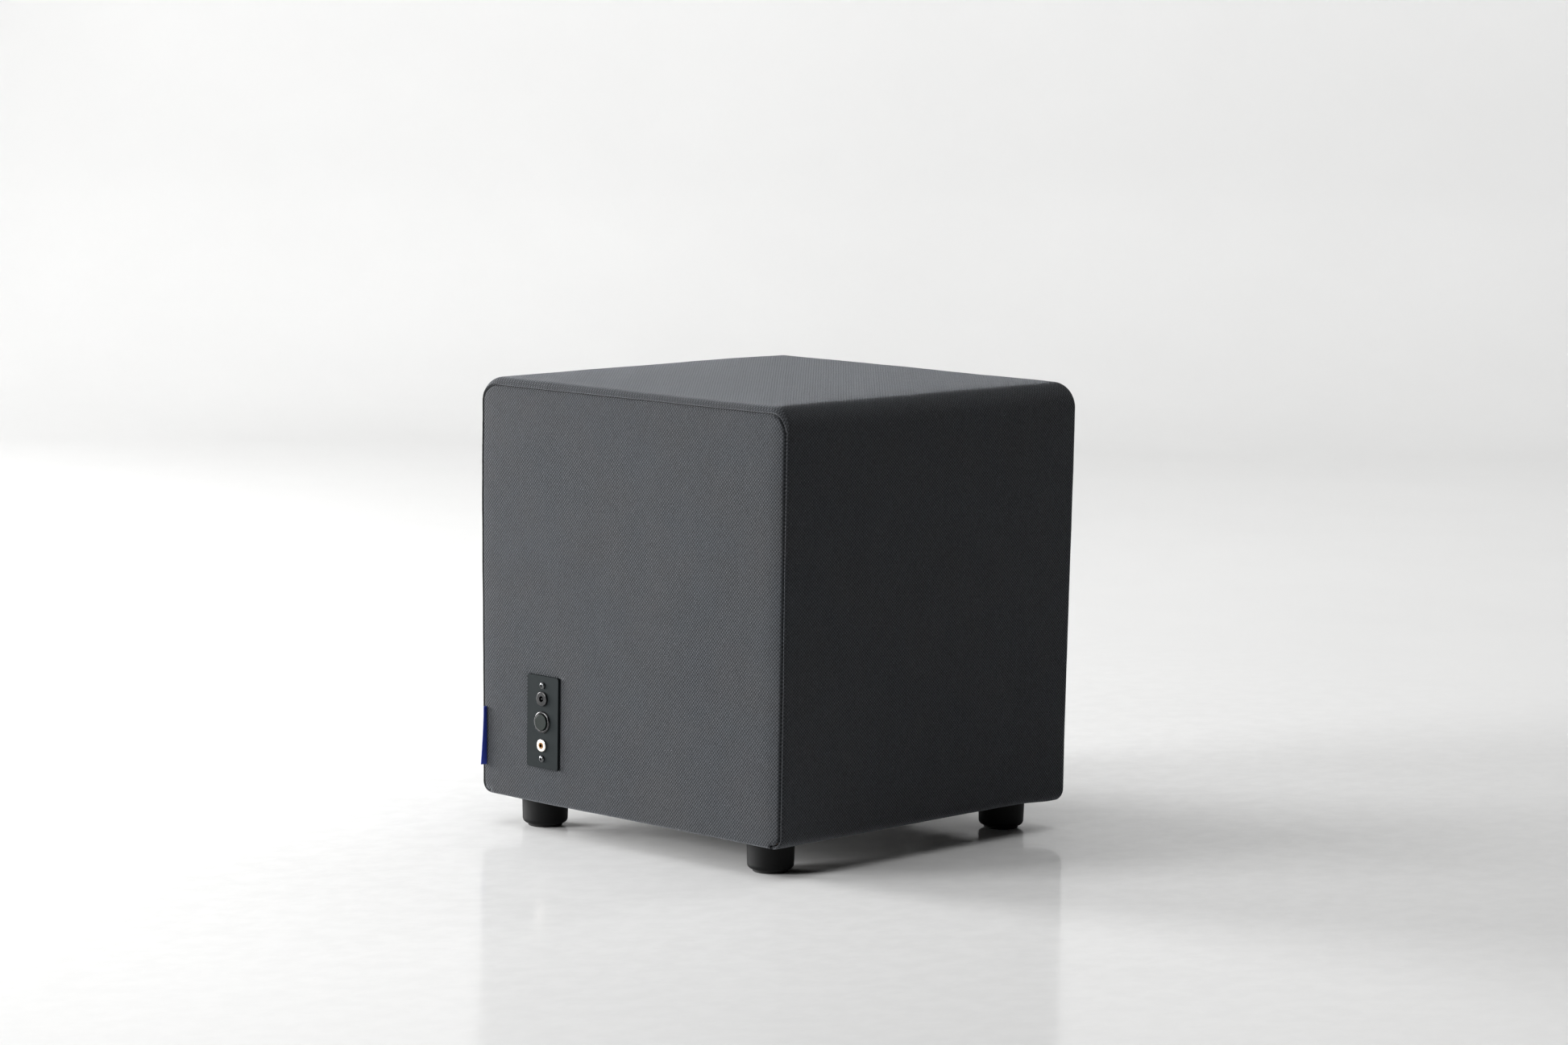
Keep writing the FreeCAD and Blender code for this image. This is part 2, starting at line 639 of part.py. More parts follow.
def make_control_plate():
    body = add_body("ControlPlate")
    half_x = "plate_width / 2"
    half_z = "plate_height / 2"
    low_x = "-(plate_centre_x + %s)" % half_x
    high_x = "-(plate_centre_x - %s)" % half_x
    low_z = "plate_centre_z - %s" % half_z
    high_z = "plate_centre_z + %s" % half_z
    outline = [
        (low_x + " + plate_corner", low_z), (high_x + " - plate_corner", low_z, "plate_corner"),
        (high_x, low_z + " + plate_corner"), (high_x, high_z + " - plate_corner", "plate_corner"),
        (high_x + " - plate_corner", high_z), (low_x + " + plate_corner", high_z, "plate_corner"),
        (low_x, high_z + " - plate_corner"), (low_x, low_z + " + plate_corner", "plate_corner"),
    ]
    pad(body, "XZ_Plane", HALF_Y, "plate_thick", outline)
    holes = plate_screw_circles("screw_shank_radius") + [
        ("-plate_centre_x", "plate_centre_z + socket_offset", "inlet_barrel_radius"),
        ("-plate_centre_x", "plate_centre_z", "bezel_barrel_radius"),
        ("-plate_centre_x", "plate_centre_z - socket_offset", "jack_bush_radius"),
    ]
    pocket(body, "XZ_Plane", "depth / 2 + plate_thick", "plate_thick", circles=holes)
    finish(body, "control_plate")


def make_plate_gasket():
    """Rubber frame that fills the padding's depth behind the plate."""
    body = add_body("PlateGasket")
    pad(body, "XZ_Plane", WOOD_Y, "side_foam + cloth",
        plate_rectangle("plate_width / 2 - gasket_margin", "plate_height / 2 - gasket_margin"))
    pocket(body, "XZ_Plane", HALF_Y, "side_foam + cloth",
           plate_rectangle("cup_width / 2 + slip", "cup_height / 2 + slip"))
    pocket(body, "XZ_Plane", HALF_Y, "side_foam + cloth",
           circles=plate_screw_circles("screw_shank_radius"))
    finish(body, "plate_gasket")


def make_module_cup():
    """Plastic cup that closes the box behind the sockets."""
    body = add_body("ModuleCup")
    pad(body, "XZ_Plane", "depth / 2 - cup_depth", "cup_depth",
        plate_rectangle("cup_width / 2", "cup_height / 2"))
    pocket(body, "XZ_Plane", HALF_Y, "cup_depth - cup_wall",
           plate_rectangle("cup_width / 2 - cup_wall", "cup_height / 2 - cup_wall"))
    pocket(body, "XZ_Plane", "depth / 2 - cup_depth + cup_wall", "cup_wall",
           circles=[("-plate_centre_x", "plate_centre_z", "harness_radius")])
    finish(body, "module_cup")


def make_plate_screws():
    """Two pan-head wood screws with a square drive."""
    body = add_body("PlateScrews")
    profile = [
        (0, "-screw_length"), ("screw_shank_radius", "3 - screw_length"),
        ("screw_shank_radius", 0), ("screw_head_radius", 0),
        ("screw_head_radius", "screw_head / 2", "2 * screw_head"),
        (1.6, "screw_head"), (1.4, "screw_head / 3"), (0, "screw_head / 3"),
    ]
    for sign in (1, -1):
        revolve(body, profile, level="%d * plate_screw_offset" % sign)
    on_plate(body)
    finish(body, "plate_screws")


def make_dc_socket():
    """Power inlet: a collar, a barrel and the hole for the plug's sleeve."""
    body = add_body("DcSocket")
    profile = [
        ("inlet_pin_root", "-rear_reach"),
        ("inlet_barrel_radius", "-rear_reach"), ("inlet_barrel_radius", 0),
        ("inlet_flange_radius", 0), ("inlet_flange_radius", "inlet_flange - 0.8", 0.8),
        ("inlet_flange_radius - 0.8", "inlet_flange"), ("inlet_bore", "inlet_flange"),
        ("inlet_bore", "inlet_flange - inlet_bore_depth"),
        ("inlet_pin_root", "inlet_flange - inlet_bore_depth"),
    ]
    revolve(body, profile)
    on_plate(body, "socket_offset")
    finish(body, "dc_socket")


def make_dc_centre_pin():
    """Pin that stands in the inlet's hole, with a thicker root in its body."""
    body = add_body("DcCentrePin")
    floor = "(inlet_flange - inlet_bore_depth)"
    top = "(inlet_flange - inlet_bore_depth + inlet_pin_length)"
    profile = [
        (0, "-rear_reach"), ("inlet_pin_root", "-rear_reach"), ("inlet_pin_root", floor),
        ("inlet_pin_radius", floor),
        ("inlet_pin_radius", top + " - 0.5"), ("inlet_pin_radius - 0.5", top), (0, top),
    ]
    revolve(body, profile)
    on_plate(body, "socket_offset")
    finish(body, "dc_centre_pin")


def make_plate_nut(name, label, bore, radius, thick, offset):
    """Ring nut that clamps a fitting from behind the plate."""
    body = add_body(name)
    profile = rectangle(bore, radius, "-plate_thick - %s" % thick, "-plate_thick")
    revolve(body, profile)
    on_plate(body, offset)
    finish(body, label)


def make_button_bezel():
    """Button housing: a polished lip, a barrel and a closed floor."""
    body = add_body("ButtonBezel")
    profile = [
        (0, "-rear_reach"), ("bezel_barrel_radius", "-rear_reach"), ("bezel_barrel_radius", 0),
        ("bezel_radius", 0), ("bezel_radius", "bezel_lip - 1.4", 1.4),
        ("bezel_radius - 1.4", "bezel_lip"), ("bezel_bore + 0.8", "bezel_lip", 0.8),
        ("bezel_bore", "bezel_lip - 0.8"), ("bezel_bore", "bezel_floor - rear_reach"),
        (0, "bezel_floor - rear_reach"),
    ]
    revolve(body, profile)
    on_plate(body)
    finish(body, "button_bezel")


def make_button_cap():
    """Round cap with a guide stem for the return spring."""
    body = add_body("ButtonCap")
    face = "(bezel_lip + cap_rise)"
    back = "(bezel_lip + cap_rise - cap_thick)"
    end = "(bezel_lip + cap_rise - cap_thick - stem_length)"
    profile = [
        (0, end), ("stem_radius", end), ("stem_radius", back), ("cap_radius", back),
        ("cap_radius", face + " - 0.6", 0.6), ("cap_radius - 0.6", face), (0, face),
    ]
    revolve(body, profile)
    on_plate(body)
    finish(body, "button_cap")


def make_button_spring():
    """Coil spring between the cap and the floor of its housing."""
    wire = value("coil_wire")
    low = value("bezel_floor - rear_reach") + wire
    high = value("bezel_lip + cap_rise - cap_thick") - wire
    radius = value("coil_radius")
    helix = Part.makeHelix((high - low) / value("coil_turns"), high - low, radius)
    start = FreeCAD.Vector(radius, 0, 0)
    section = Part.Wire(Part.makeCircle(wire, start, FreeCAD.Vector(0, 1, 0)))
    shape = Part.Wire(helix).makePipeShell([section], True, True)
    spring = doc.addObject("Part::Feature", "ButtonSpring")
    spring.Shape = shape
    turn = FreeCAD.Rotation(FreeCAD.Vector(1, 0, 0), 90)
    base = FreeCAD.Vector(-value("plate_centre_x"), value(PLATE_FACE) - low, value("plate_centre_z"))
    spring.Placement = FreeCAD.Placement(base, turn)
    finish(spring, "button_spring")


def make_audio_jack_body():
    """Audio socket: a threaded bush on a square moulded block."""
    body = add_body("AudioJackBody")
    bush = [
        ("jack_bore", "-plate_thick"), ("jack_bush_radius", "-plate_thick"),
        ("jack_bush_radius", "jack_ring + 0.2"), ("jack_bore", "jack_ring + 0.2"),
    ]
    revolve(body, bush)
    half = "jack_block / 2"
    pad(body, "XY_Plane", "-rear_reach", "rear_reach - plate_thick",
        rectangle("-" + half, half, "-" + half, half))
    pocket(body, "XY_Plane", "-plate_thick", "jack_bore_depth - plate_thick - jack_ring - 0.2",
           circles=[(0, 0, "jack_bore")])
    on_plate(body, "-socket_offset")
    finish(body, "audio_jack_body")


def make_audio_jack_nut():
    """Round plated nut on the front of the audio socket."""
    body = add_body("AudioJackNut")
    profile = [
        ("jack_bush_radius", 0), ("jack_ring_radius", 0),
        ("jack_ring_radius", "jack_ring - 0.9", 0.9), ("jack_ring_radius - 0.9", "jack_ring"),
        ("jack_bush_radius", "jack_ring"),
    ]
    revolve(body, profile)
    on_plate(body, "-socket_offset")
    finish(body, "audio_jack_nut")


def make_panel_board():
    """Circuit board across the backs of the sockets and the button."""
    far = "depth / 2 + plate_thick - rear_reach"
    half_x = "panel_board_width / 2"
    half_z = "panel_board_height / 2"
    board = block("panel_board", "-plate_centre_x - " + half_x, "-plate_centre_x + " + half_x,
                  negative(far), negative(far + " - board"),
                  "plate_centre_z - " + half_z, "plate_centre_z + " + half_z)
    finish(board, "panel_board")


# Woofer.

def make_woofer_basket():
    """Cast frame with six windows between its arms."""
    body = add_body("WooferBasket")
    flange_high = "(flange_low + flange_thick)"
    inner = "(shoulder_radius - frame_wall)"
    shoulder_high = "(shoulder_low + shoulder_thick)"
    profile = [
        ("frame_inner_radius", "flange_low"), ("flange_radius", "flange_low"),
        ("flange_radius", flange_high), ("frame_inner_radius + frame_wall", flange_high),
        ("shoulder_radius", "shoulder_low"), ("shoulder_radius", shoulder_high),
        ("neck_radius", shoulder_high), ("neck_radius", "motor_low"),
        ("ring_inner_radius", "motor_low"), ("ring_inner_radius", "motor_low - 3"),
        ("neck_radius - frame_wall", "motor_low - 3"),
        ("neck_radius - frame_wall", "shoulder_low"), (inner, "shoulder_low"),
        ("frame_inner_radius", flange_high),
    ]
    revolve(body, profile)
    window = pocket(body, "YZ_Plane", "flange_radius", "flange_radius - neck_radius",
                    rectangle(-26, 26, flange_high + " + 5", "shoulder_low - 5"))
    repeat_round(body, window, 6)
    hole = pocket(body, "XY_Plane", flange_high, "flange_thick",
                  circles=[("woofer_screw_circle", 0, "woofer_screw_radius")])
    repeat_round(body, hole, "woofer_screws")
    finish(body, "woofer_basket")


def make_woofer_gasket():
    """Soft ring between the frame's flange and the rebate's floor."""
    body = add_body("WooferGasket")
    low = "(flange_low + flange_thick)"
    high = "(floor_gap + cloth + rebate_depth)"
    revolve(body, rectangle("gasket_ring_inner", "gasket_ring_outer", low, high))
    hole = pocket(body, "XY_Plane", high, "%s - %s" % (high, low),
                  circles=[("woofer_screw_circle", 0, "woofer_screw_radius")])
    repeat_round(body, hole, "woofer_screws")
    finish(body, "woofer_gasket")


def make_woofer_screws():
    body = add_body("WooferScrews")
    axis = "woofer_screw_circle"
    profile = [
        (0, "flange_low + woofer_screw_length"),
        (0, "flange_low - 1"), (1.8, "flange_low - 1"), (1.8, "flange_low - 2.4"),
        ("woofer_screw_head", "flange_low - 1.6"), ("woofer_screw_head", "flange_low"),
        ("woofer_screw_radius", "flange_low"),
        ("woofer_screw_radius", "flange_low + woofer_screw_length - 3"),
    ]
    piece = revolve(body, offset_profile(axis, profile), axis_x=axis)
    repeat_round(body, piece, "woofer_screws")
    finish(body, "woofer_screws")


def make_motor():
    """Top plate, ferrite ring and back plate with its vented pole."""
    plate_high = "(motor_low + top_plate)"
    magnet_high = "(motor_low + top_plate + magnet_height)"
    washer = add_body("TopPlate")
    revolve(washer, rectangle("gap_radius", "top_plate_radius", "motor_low", plate_high))
    finish(washer, "top_plate")
    magnet = add_body("FerriteMagnet")
    chamfered = [
        ("magnet_bore", plate_high), ("magnet_radius - 2", plate_high),
        ("magnet_radius", plate_high + " + 2"), ("magnet_radius", magnet_high + " - 2"),
        ("magnet_radius - 2", magnet_high), ("magnet_bore", magnet_high),
    ]
    revolve(magnet, chamfered)
    finish(magnet, "ferrite_magnet")
    yoke = add_body("BackYoke")
    yoke_high = magnet_high + " + yoke_thick"
    profile = [
        ("vent_radius", "pole_low"), ("pole_radius", "pole_low"), ("pole_radius", magnet_high),
        ("yoke_radius", magnet_high), ("yoke_radius", yoke_high + " - 2"),
        ("yoke_radius - 2", yoke_high), ("vent_radius", yoke_high),
    ]
    revolve(yoke, profile)
    finish(yoke, "back_yoke")


def make_coil():
    """Thin former with the winding round its upper end."""
    former = add_body("CoilFormer")
    revolve(former, rectangle("former_radius - former_wall", "former_radius",
                              "former_low", "former_high"))
    finish(former, "coil_former")
    winding = add_body("VoiceCoil")
    revolve(winding, rectangle("former_radius", "former_radius + winding",
                               "winding_low", "former_high"))
    finish(winding, "voice_coil")


def make_cone():
    """Paper cone with a flat lip for the surround and a neck on the former."""
    body = add_body("Cone")
    lip_high = "(cone_lip_low + cone_lip)"
    profile = [
        ("cone_bend", "cone_lip_low"), ("cone_edge", "cone_lip_low"), ("cone_edge", lip_high),
        ("cone_bend + 0.6", lip_high), ("former_radius + 3", "cone_neck_high"),
        ("former_radius", "cone_neck_high"), ("former_radius", "cone_neck_high - 2"),
    ]
    revolve(body, profile)
    finish(body, "cone")


def make_dust_cap():
    """Shallow dome that closes the middle of the cone, bulging to the floor."""
    body = add_body("DustCap")
    rise = "(cone_neck_high - 2 - cone_lip_low) / (cone_bend - former_radius)"
    rim = "(cone_lip_low + (cone_bend - dust_radius) * %s)" % rise
    radius = "((dust_radius ^ 2 + dust_depth ^ 2) / (2 * dust_depth))"
    inner = "((dust_radius ^ 2 + (dust_depth - dust_wall) ^ 2) / (2 * (dust_depth - dust_wall)))"
    profile = [
        (0, "%s - dust_depth" % rim, radius), ("dust_radius", rim, "-" + inner),
        (0, "%s - dust_depth + dust_wall" % rim),
    ]
    revolve(body, profile)
    finish(body, "dust_cap")


def make_surround():
    """Half-roll rubber surround from the cone's lip to the flange."""
    body = add_body("Surround")
    crown = "(cone_edge + roll_radius)"
    outer = "(cone_edge + 2 * roll_radius)"
    level = "(flange_low - surround_thick)"
    inner_roll = "(roll_radius - surround_thick)"
    profile = [
        ("cone_bend + 1", "cone_lip_low - surround_thick"),
        ("cone_edge", "cone_lip_low - surround_thick"), ("cone_edge", level, "roll_radius"),
        (crown, level + " - roll_radius", "roll_radius"), (outer, level),
        ("surround_edge", level), ("surround_edge", "flange_low"),
        (outer + " - surround_thick", "flange_low"),
        (outer + " - surround_thick", level, "-" + inner_roll),
        (crown, "%s - %s" % (level, inner_roll), "-" + inner_roll),
        ("cone_edge + surround_thick", level), ("cone_edge + surround_thick", "cone_lip_low"),
        ("cone_bend + 1", "cone_lip_low"),
    ]
    revolve(body, profile)
    finish(body, "surround")


def make_spider():
    """Corrugated cloth disc that centres the coil."""
    body = add_body("Spider")
    high = value("shoulder_low")
    thick = value("spider_thick")
    inner = value("former_radius")
    outer = value("spider_outer")
    flat = 8
    waves = 5
    pitch = (outer - flat - inner - 4) / waves
    lower = [(inner, high - thick)]
    upper = [(inner, high)]
    for wave in range(waves):
        left = inner + 4 + wave * pitch
        lower += [(left, high - thick), (left + pitch / 2, high - thick - 3)]
        upper += [(left, high), (left + pitch / 2, high - 3)]
    last = inner + 4 + waves * pitch
    lower += [(last, high - thick), (outer, high - thick)]
    upper += [(last, high), (outer, high)]
    corners = lower + upper[::-1]
    revolve(body, corners)
    finish(body, "spider")


def make_grille():
    """Dished steel guard with rings of round holes."""
    body = add_body("Grille")
    high = "floor_gap"
    face = "(floor_gap - grille_drop)"
    profile = [
        (0, face + " - grille_thick"), ("grille_face", face + " - grille_thick"),
        ("grille_bend", high + " - grille_thick"), ("grille_rim", high + " - grille_thick"),
        ("grille_rim", high), ("grille_bend - 0.6", high), ("grille_face - 0.6", face),
        (0, face),
    ]
    revolve(body, profile)
    for ring in range(1, 7):
        hole = pocket(body, "XY_Plane", face, "grille_thick",
                      circles=[("%d * grille_pitch" % ring, 0, "grille_hole")])
        repeat_round(body, hole, 6 * ring)
    hole = pocket(body, "XY_Plane", high, "grille_thick",
                  circles=[("grille_screw_circle", 0, "grille_screw_radius")])
    repeat_round(body, hole, "grille_screws")
    finish(body, "grille")


def make_grille_screws():
    body = add_body("GrilleScrews")
    axis = "grille_screw_circle"
    seat = "(floor_gap - grille_thick)"
    profile = [
        (0, "floor_gap + 10"), (0, seat + " - 0.8"), (1.2, seat + " - 0.8"),
        (1.2, seat + " - 1.8"), (3, seat + " - 1"), (3, seat),
        ("grille_screw_radius", seat), ("grille_screw_radius", "floor_gap + 8"),
    ]
    piece = revolve(body, offset_profile(axis, profile), axis_x=axis)
    repeat_round(body, piece, "grille_screws")
    finish(body, "grille_screws")


# Amplifier and wiring inside the box.

AMP_BACK = "(standoff - %s)" % ROOM_X
AMP_FACE = "(standoff + board - %s)" % ROOM_X


def make_amplifier_board():
    board = block("amplifier_board", AMP_BACK, AMP_FACE, "-amp_front", "amp_length - amp_front",
                  "amp_low", "amp_low + amp_height")
    finish(board, "amplifier_board")


def make_board_standoffs():
    """Four round spacers between the board and the left panel."""
    body = add_body("BoardStandoffs")
    low_y = "standoff_inset - amp_front"
    high_y = "amp_length - amp_front - standoff_inset"
    low_z = "amp_low + standoff_inset"
    high_z = "amp_low + amp_height - standoff_inset"
    circles = [(y, z, "standoff_radius") for y in (low_y, high_y) for z in (low_z, high_z)]
    pad(body, "YZ_Plane", negative(ROOM_X), "standoff", circles=circles)
    finish(body, "board_standoffs")


def make_amp_heatsink():
    """Finned aluminium bar along the top of the board."""
    body = add_body("AmpHeatsink")
    low_z = "(amp_low + amp_height - sink_height - 18)"
    pad(body, "YZ_Plane", AMP_FACE, "sink_reach",
        rectangle("-amp_front + 25", "-amp_front + 25 + sink_length",
                  low_z, low_z + " + sink_height"))
    for slot in range(8):
        low_y = "-amp_front + 25 + fin + %d * (sink_length - fin) / 8" % slot
        pocket(body, "YZ_Plane", AMP_FACE + " + sink_reach", "sink_reach - 5",
               rectangle(low_y, low_y + " + (sink_length - fin) / 8 - fin",
                         low_z, low_z + " + sink_height"))
    finish(body, "amp_heatsink")


def make_amp_capacitors():
    body = add_body("AmpCapacitors")
    row_z = "amp_low + 22"
    circles = [("-amp_front + %d" % (62 + 26 * number), row_z, "capacitor_radius")
               for number in range(2)]
    pad(body, "YZ_Plane", AMP_FACE, "capacitor_length", circles=circles)
    finish(body, "amp_capacitors")


def make_amp_chokes():
    """Two ring chokes lying on the board."""
    rings = []
    for number in range(2):
        ring = doc.addObject("Part::Torus", "Choke%d" % (number + 1))
        bind(ring, Radius1="choke_radius", Radius2="choke_wire")
        place(ring, AMP_FACE + " + choke_wire", "amp_length - amp_front - 17",
              "amp_low + 40 + %d" % (34 * number))
        ring.Placement.Rotation = FreeCAD.Rotation(FreeCAD.Vector(0, 1, 0), 90)
        rings.append(ring)
    group = doc.addObject("Part::Compound", "AmpChokes")
    group.Links = rings
    finish(group, "amp_chokes")


def lead_path(points, bend):
    """Join straight runs by tangent arcs at each inner corner."""
    corners = [FreeCAD.Vector(*point) for point in points]
    edges = []
    start = corners[0]
    for before, corner, after in zip(corners, corners[1:], corners[2:]):
        back = (before - corner).normalize()
        ahead = (after - corner).normalize()
        reach = bend / math.tan(back.getAngle(ahead) / 2)
        first = corner + back * reach
        last = corner + ahead * reach
        middle = (back + ahead).normalize()
        crown = corner + middle * (math.hypot(bend, reach) - bend)
        edges.append(Part.LineSegment(start, first).toShape())
        edges.append(Part.Arc(first, crown, last).toShape())
        start = last
    edges.append(Part.LineSegment(start, corners[-1]).toShape())
    return Part.Wire(edges)


def make_lead(name, label, points, radius):
    """Sweep a round lead along its path and check its volume."""
    path = lead_path(points, value("lead_bend"))
    start = FreeCAD.Vector(*points[0])
    heading = FreeCAD.Vector(*points[1]) - start
    section = Part.Wire(Part.makeCircle(radius, start, heading))
    lead = doc.addObject("Part::Feature", name)
    lead.Shape = path.makePipeShell([section], True, False)
    expected = math.pi * radius ** 2 * path.Length
    if abs(lead.Shape.Volume - expected) > 0.01 * expected:
        raise RuntimeError("%s has the wrong volume" % label)
    finish(lead, label)


def make_leads():
    """Socket leads up to the amplifier, and its lead down to the woofer."""
    face = value(AMP_FACE)
    x = -value("plate_centre_x")
    back = -value("depth / 2 + plate_thick - rear_reach - board")
    z = value("plate_centre_z")
    harness = [(x, back, z), (x, -100, z), (x, -100, 300), (face, -100, 300)]
    make_lead("PanelHarness", "panel_harness", harness, value("harness_radius"))
    shoulder = value("shoulder_low + shoulder_thick")
    lead = [(face, -40, 300), (-75, -40, 300), (-75, -40, shoulder)]
    make_lead("SpeakerLead", "speaker_lead", lead, value("lead_radius"))


def make_all():
    make_base_baffle()
    make_cabinet_sides()
    make_cabinet_front()
    make_cabinet_rear()
    make_cabinet_top()
    make_window_brace()
    make_foam_front_and_rear()
    make_foam_left_and_right()
    make_foam_top()
    make_cover_band()
    make_cover_panels()
    make_bottom_cloth()
    make_side_label()
    make_staples()
    make_feet()
    make_foot_pads()
    make_foot_bolts()
    make_foot_nuts()
    make_control_plate()
    make_plate_gasket()
    make_module_cup()
    make_plate_screws()
    make_dc_socket()
    make_dc_centre_pin()
    make_plate_nut("DcNut", "dc_nut", "inlet_barrel_radius", "inlet_nut_radius", "inlet_nut",
                   "socket_offset")
    make_button_bezel()
    make_button_cap()
    make_button_spring()
    make_plate_nut("ButtonNut", "button_nut", "bezel_barrel_radius", "button_nut_radius",
                   "button_nut", 0)
    make_audio_jack_body()
    make_audio_jack_nut()
    make_panel_board()
    make_woofer_basket()
    make_woofer_gasket()
    make_woofer_screws()
    make_motor()
    make_coil()
    make_cone()
    make_dust_cap()
    make_surround()
    make_spider()
    make_grille()
    make_grille_screws()
    make_amplifier_board()
    make_board_standoffs()
    make_amp_heatsink()
    make_amp_capacitors()
    make_amp_chokes()
    make_leads()


def check_document():
    """Stop if any feature failed to build."""
    for feature in doc.Objects:
        if "Invalid" in feature.State or "Error" in feature.State:
            raise RuntimeError("%s did not build" % feature.Label)
    for feature in FEATURES:
        shape = feature.Shape
        if shape.isNull() or not shape.isValid() or not shape.Solids:
            raise RuntimeError("%s is not a valid solid" % feature.Label)


def export_parts():
    os.makedirs("parts", exist_ok=True)
    for feature in FEATURES:
        feature.Shape.exportStep("parts/%s.step" % feature.Label)


make_all()
doc.recompute()
check_document()
export_parts()
print("%d sub-parts written" % len(FEATURES))
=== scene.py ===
"""Looks of the subwoofer: its sewn fabric cover, fittings, feet, floor and light."""

import json
import math

import bmesh
import bpy
import numpy as np
from mathutils import Matrix, Vector, kdtree, noise


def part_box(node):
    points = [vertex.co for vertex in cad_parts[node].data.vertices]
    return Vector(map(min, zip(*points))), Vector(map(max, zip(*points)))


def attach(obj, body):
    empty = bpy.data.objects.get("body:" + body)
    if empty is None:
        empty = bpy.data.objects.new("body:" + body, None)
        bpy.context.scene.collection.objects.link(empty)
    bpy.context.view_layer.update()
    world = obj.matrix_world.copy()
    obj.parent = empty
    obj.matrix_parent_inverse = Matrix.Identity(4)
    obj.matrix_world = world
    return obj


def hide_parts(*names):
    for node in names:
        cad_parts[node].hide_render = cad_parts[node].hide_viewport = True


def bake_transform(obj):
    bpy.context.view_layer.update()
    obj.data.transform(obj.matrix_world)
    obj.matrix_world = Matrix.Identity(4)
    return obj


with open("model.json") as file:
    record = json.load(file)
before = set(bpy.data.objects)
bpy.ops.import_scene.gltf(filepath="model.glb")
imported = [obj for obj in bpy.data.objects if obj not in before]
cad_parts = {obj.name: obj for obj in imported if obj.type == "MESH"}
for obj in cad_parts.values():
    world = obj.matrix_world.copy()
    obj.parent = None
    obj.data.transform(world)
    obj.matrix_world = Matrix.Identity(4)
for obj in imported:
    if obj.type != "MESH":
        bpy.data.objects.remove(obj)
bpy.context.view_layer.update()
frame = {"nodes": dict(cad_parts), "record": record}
NODES = frame["nodes"]
MM = 0.001

# The cube's outer faces: the CAD's fabric band, with the padding a little proud of it.
PROUD = 1.0 * MM
BAND_LOW, BAND_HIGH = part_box("cover_band")
HALF_X = BAND_HIGH.x + PROUD
HALF_Y = BAND_HIGH.y + PROUD
BODY_LOW = BAND_LOW.z - PROUD
BODY_HIGH = BAND_HIGH.z
BODY_HEIGHT = BODY_HIGH - BODY_LOW

# Corners of the cube, and of the sewn line inside its front and rear.
TOP_RADIUS = 22 * MM
BOTTOM_RADIUS = 12 * MM
SEAM_RADIUS = 18 * MM
SEAM_BOTTOM_RADIUS = 8 * MM

# Where the sewn line lies, and how the band rolls over to it from the sides and the top.
INSET_SIDE = 2.5 * MM
INSET_TOP = 7.4 * MM
SEAM_SHIFT = -0.9 * MM
SEAM_SPREAD = 0.9 * MM
ROLL_SIDE = 2.6 * MM
ROLL_TOP = 8 * MM

# Section across the seam: the panel's rolled edge, the groove, and the band's thin ridge.
PANEL_ROLL = 0.9 * MM
PANEL_ROLL_RIGHT = 2.3 * MM
PANEL_ROLL_REACH = 8.5 * MM
NOTCH = 2.5 * MM
NOTCH_IN_PANEL = 1.1 * MM
NOTCH_IN_BAND = 1.2 * MM
RIDGE = 0.8 * MM
RIDGE_FROM_SEAM = 2.0 * MM
RIDGE_WIDTH = 1.1 * MM

# Cloth, its hem and the foam under it.
CLOTH = 0.8 * MM
HEM_ROLL = 4 * MM
HEM_LIFT = 0.7 * MM
TURNED_EDGE = 14 * MM
TAPER_LOW = -1.0 * MM
TAPER_HIGH = 1.3 * MM
DROOP = 2.6 * MM
PUCKER_FINE = 0.22 * MM
PUCKER_BROAD = 0.5 * MM
PAD_TRIM = 6.0 * MM
PAD_SINK = 2.2 * MM
PAD_EDGE = 2.5 * MM


# Small helpers.

def smooth(value):
    """Smooth step of a value or array, held between 0 and 1."""
    held = np.clip(value, 0.0, 1.0)
    return held * held * (3 - 2 * held)


def wander(points, scale, seed):
    """Smooth noise from -1 to 1 at each point."""
    return np.array([noise.noise(Vector((p[0] * scale + seed, p[1] * scale, p[2] * scale)))
                     for p in points])


def link(name, data):
    """Put a mesh, light or camera into the scene under a name."""
    made = bpy.data.objects.new(name, data)
    bpy.context.scene.collection.objects.link(made)
    return made


def mesh_object(name, points, faces, uvs=None):
    """Make a smooth object from points, faces and a UV pair for each point."""
    mesh = bpy.data.meshes.new(name)
    mesh.from_pydata([tuple(p) for p in points], [], [tuple(f) for f in faces])
    if uvs is not None:
        layer = mesh.uv_layers.new(name="Weave")
        loops = np.zeros(len(mesh.loops), dtype=np.int32)
        mesh.loops.foreach_get("vertex_index", loops)
        layer.data.foreach_set("uv", np.asarray(uvs, dtype=np.float32)[loops].ravel())
    mesh.polygons.foreach_set("use_smooth", [True] * len(mesh.polygons))
    mesh.update()
    return link(name, mesh)


def dress(piece, material, body="cabinet", nodes=()):
    """Give a piece its material and its body, and hide the CAD nodes it stands for."""
    piece.data.materials.clear()
    piece.data.materials.append(material)
    if body:
        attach(piece, body)
    if nodes:
        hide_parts(*nodes)
    return piece


